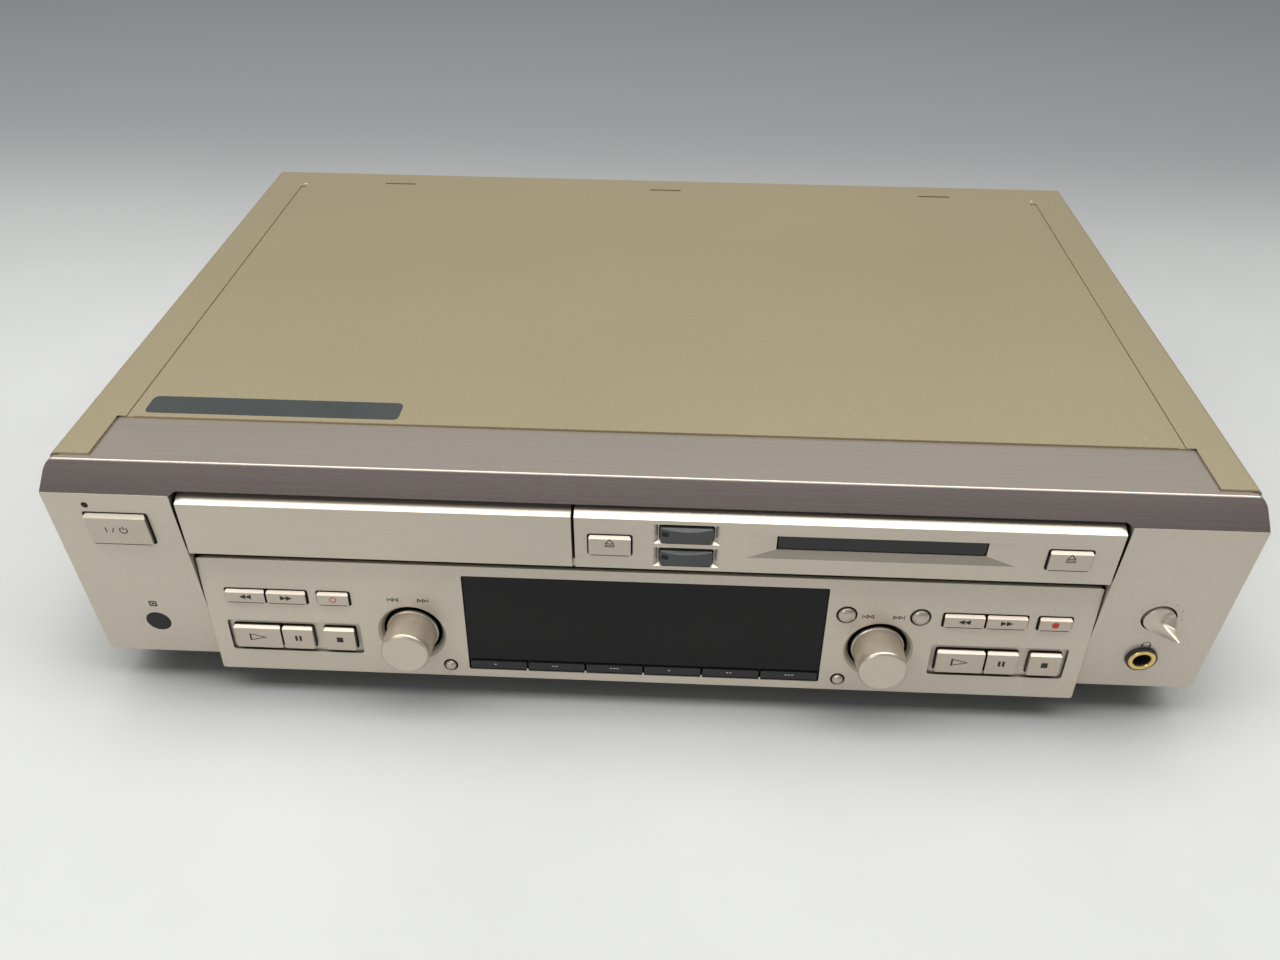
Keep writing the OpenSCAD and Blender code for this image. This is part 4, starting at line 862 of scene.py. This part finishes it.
def sync_lamps():
    """A dark lamp window in the left end of each dubbing key, which follows the key's bowed front."""
    first, step = -8.6, 0.5
    for name, v in zip(("sync_normal_key", "sync_high_key"), SYNC_ROWS):
        middle = middle_x(name)
        strips = [rectangle(middle + first + step * i, v, step, 2.0) for i in range(5)]
        printed(name + "_lamp", Bowed(middle), strips, 0.0, "lens", name)


LABEL = (-142.75, 43.55, 96.5, 10.9, 2.2)    # middle, width, depth and corner radius


def cover_label():
    """A plain dark label in the front left corner of the cover."""
    outline = rounded(*LABEL)
    made = printed("plain_label", TOP, [outline], 0.0, "label", "case", 0.12)


# On the rear panel: the middles of the sockets, and the colour of each line socket's insert
LINE_SOCKETS = [(x, z, colour) for x in (40.0, 62.0) for z, colour in ((56.2, "white"), (37.2, "red"))]
OPTICAL_SOCKETS = ((95.0, 30.8), (111.0, 30.8))


def socket_sleeves():
    """The line sockets' plated sleeves and coloured inserts."""
    sleeve = [(4.1, 1.1), (4.19, 1.1), (4.19, 8.9), (4.1, 9.06), (3.9, 9.06), (3.9, 8.9), (4.1, 8.9)]
    insert = [(1.65, 8.9), (1.65, 9.02), (3.88, 9.02), (3.88, 8.9)]
    for i, (x, z, colour) in enumerate(LINE_SOCKETS, 1):
        lathe(f"line_sleeve_{i}", REAR, x, z, closed(sleeve), "steel", "case", 48)
        lathe(f"line_insert_{i}", REAR, x, z, closed(insert), colour, "case", 48)


def optical_covers():
    """The optical sockets' black housings, each with a raised frame and a shutter."""
    for i, (x, z) in enumerate(OPTICAL_SOCKETS, 1):
        body, inner = rectangle(x, z, 9.7, 9.5), rectangle(x, z - 0.2, 6.6, 6.0)
        loops = ((body, -1.0), (body, 2.2), (inner, 2.2), (inner, 1.65))
        verts = [REAR.at(px, pv, n) for outline, n in loops for px, pv in outline]
        faces = [[4 * loop + k, 4 * loop + (k + 1) % 4, 4 * loop + 4 + (k + 1) % 4, 4 * loop + 4 + k]
                 for loop in range(3) for k in range(4)]
        faces += [[3, 2, 1, 0], [12, 13, 14, 15]]
        face_out(piece(f"optical_housing_{i}", verts, faces, "black", "case"))
        printed(f"optical_shutter_{i}", REAR, [rectangle(x, z - 0.2, 5.9, 5.3)], 1.65, "flap", "case", 0.25)


def painted_key_gap_shadows():
    """Thin black rings round the openings of the keys that stand in a flat face: painted shadow in the gaps
    round the keys.
    """
    shade_width, corner, thick = 0.3, 0.8, 0.02
    openings = [("power", WING, middle_x("power_key"), POWER_ROW, POWER_W, POWER_H)]
    openings += [(key, ROW, middle_x(key + "_key"), PANEL_ROW, PANEL_KEY_W, PANEL_KEY_H)
                 for key in ("open_close", "eject")]
    for side in ("cd", "md"):
        pair_x = (middle_x(side + "_rewind_key") + middle_x(side + "_forward_key")) / 2
        record_x = middle_x(side + "_record_key")
        openings += [(side + "_pair", PLATE, pair_x, SMALL_ROW, PAIR_W, SMALL_H),
                     (side + "_record", PLATE, record_x, SMALL_ROW, SINGLE_W, SMALL_H)]
    for name, face, x, v, w, h in openings:
        # painted shadow: a thin black ring where the gap round a key lies in shade
        strips = ring(rounded(x, v, w + 2 * shade_width, h + 2 * shade_width, corner + shade_width), rounded(x, v, w, h, corner))
        printed(name + "_gap_shadow", face, strips, 0.0, "black", "case", thick)
    for node, radius, v in ROUND_KEYS:
        x, inner = middle_x(node), radius + KEY_GAP
        strips = ring(disc(x, v, inner + shade_width, 48), disc(x, v, inner, 48))
        printed(node + "_gap_shadow", PLATE, strips, 0.0, "black", "case", thick)


def painted_key_edge_shadows():
    """A painted shadow: a dark line along the lower edge of each key that stands in a flat face."""
    keys = [("power_key", WING, POWER_ROW, POWER_H, POWER_OUT)]
    keys += [(key, ROW, PANEL_ROW, PANEL_KEY_H, KEY_OUT) for key in ("open_close_key", "eject_key")]
    keys += [(f"{side}_{key}_key", PLATE, SMALL_ROW, SMALL_H, KEY_OUT)
             for side in ("cd", "md") for key in ("rewind", "forward", "record")]
    width, ends, deep, proud = 0.34, 0.6, 0.3, 0.01
    for node, face, v, h, out in keys:
        low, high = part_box(node)
        length = (high[0] - low[0]) / MM - 2 * ends
        # painted shadow along the key's lower edge
        line = rectangle(middle_x(node), v - h / 2 + KEY_GAP + 0.14, length, width)
        made = piece(node + "_edge", *slab(face, [line], out - deep, out + proud), "black", node)
        face_out(made)


jack_ring()
painted_key_gap_shadows()
painted_key_edge_shadows()
socket_sleeves()
optical_covers()
display_marks()
sync_lamps()
cover_label()

# ---- stage and light ------------------------------------------------------------------------

FLOOR_W = 8.0                # metres
FADE = (0.12, 0.55)          # where the floor begins and ends to turn grey
CONTACT_SHADE = 60 * MM      # reach of the painted soft shadow under the deck


def make_stage():
    """A pale floor that turns grey well behind the deck, with a painted soft shadow under the deck."""
    half = FLOOR_W / 2
    mesh = bpy.data.meshes.new("floor")
    corners = [(-half, -half, 0), (half, -half, 0), (half, half, 0), (-half, half, 0)]
    mesh.from_pydata(corners, [], [(0, 1, 2, 3)])
    floor = bpy.data.objects.new("floor", mesh)
    bpy.context.scene.collection.objects.link(floor)
    s = Shader("floor_card", 0.6)
    wide = s.noise(even(5.0), 4.0, 0.55)
    away = s.spread(s.axis("Y"), *FADE, kind="SMOOTHSTEP")
    near = s.ramp(wide, [(0.3, linear(206, 208, 207)), (0.7, linear(214, 216, 215))])
    tone = s.mix(away, near, linear(164, 166, 168))
    # painted shadow: the floor colour darkens close to the deck
    s.colour(s.painted_gap_shade(tone, CONTACT_SHADE, 0.35, 0.95, 0.35))
    floor.data.materials.append(s.material)


def area_light(name, place, target, size, power, colour):
    data = bpy.data.lights.new(name, "AREA")
    data.shape = "RECTANGLE"
    data.size, data.size_y = size
    data.energy = power
    data.color = colour
    lamp = bpy.data.objects.new(name, data)
    lamp.location = place
    lamp.rotation_euler = (Vector(target) - Vector(place)).to_track_quat("-Z", "Y").to_euler()
    bpy.context.scene.collection.objects.link(lamp)


# The room's light: each axis, where along it the level goes from the third to the fourth number
ROOM = (("Y", -0.8, 0.8, 0.12, 0.15), ("Z", 0.1, 0.9, 0.0, 0.26))
ROOM_TINT = (0.97, 0.985, 1.0, 1.0)


def make_world():
    """A soft room, darker over the viewer and low down, brighter overhead."""
    world = bpy.data.worlds.new("room")
    world.use_nodes = True
    nodes, links = world.node_tree.nodes, world.node_tree.links
    background = nodes["Background"]
    place = nodes.new("ShaderNodeTexCoord")
    split = nodes.new("ShaderNodeSeparateXYZ")
    links.new(place.outputs["Generated"], split.inputs["Vector"])
    levels = []
    for axis, start, end, low, high in ROOM:
        level = nodes.new("ShaderNodeMapRange")
        level.inputs["From Min"].default_value = start
        level.inputs["From Max"].default_value = end
        level.inputs["To Min"].default_value = low
        level.inputs["To Max"].default_value = high
        links.new(split.outputs[axis], level.inputs["Value"])
        levels.append(level.outputs["Result"])
    total = nodes.new("ShaderNodeMath")
    for value, socket in zip(levels, total.inputs):
        links.new(value, socket)
    links.new(total.outputs[0], background.inputs["Strength"])
    background.inputs["Color"].default_value = ROOM_TINT
    bpy.context.scene.world = world


make_stage()
make_world()
# Each lamp: its place and target in metres, its size, its power in watts and its colour
area_light("overhead", (-0.10, -0.22, 1.25), (-0.10, -0.22, 0.0), (2.6, 0.6), 22.0, (1.0, 0.985, 0.96))
area_light("left_fill", (-0.85, -1.45, 0.85), (0.0, 0.0, 0.05), (0.8, 0.6), 5.5, (1.0, 0.985, 0.965))
bpy.context.scene.view_settings.view_transform = "Standard"
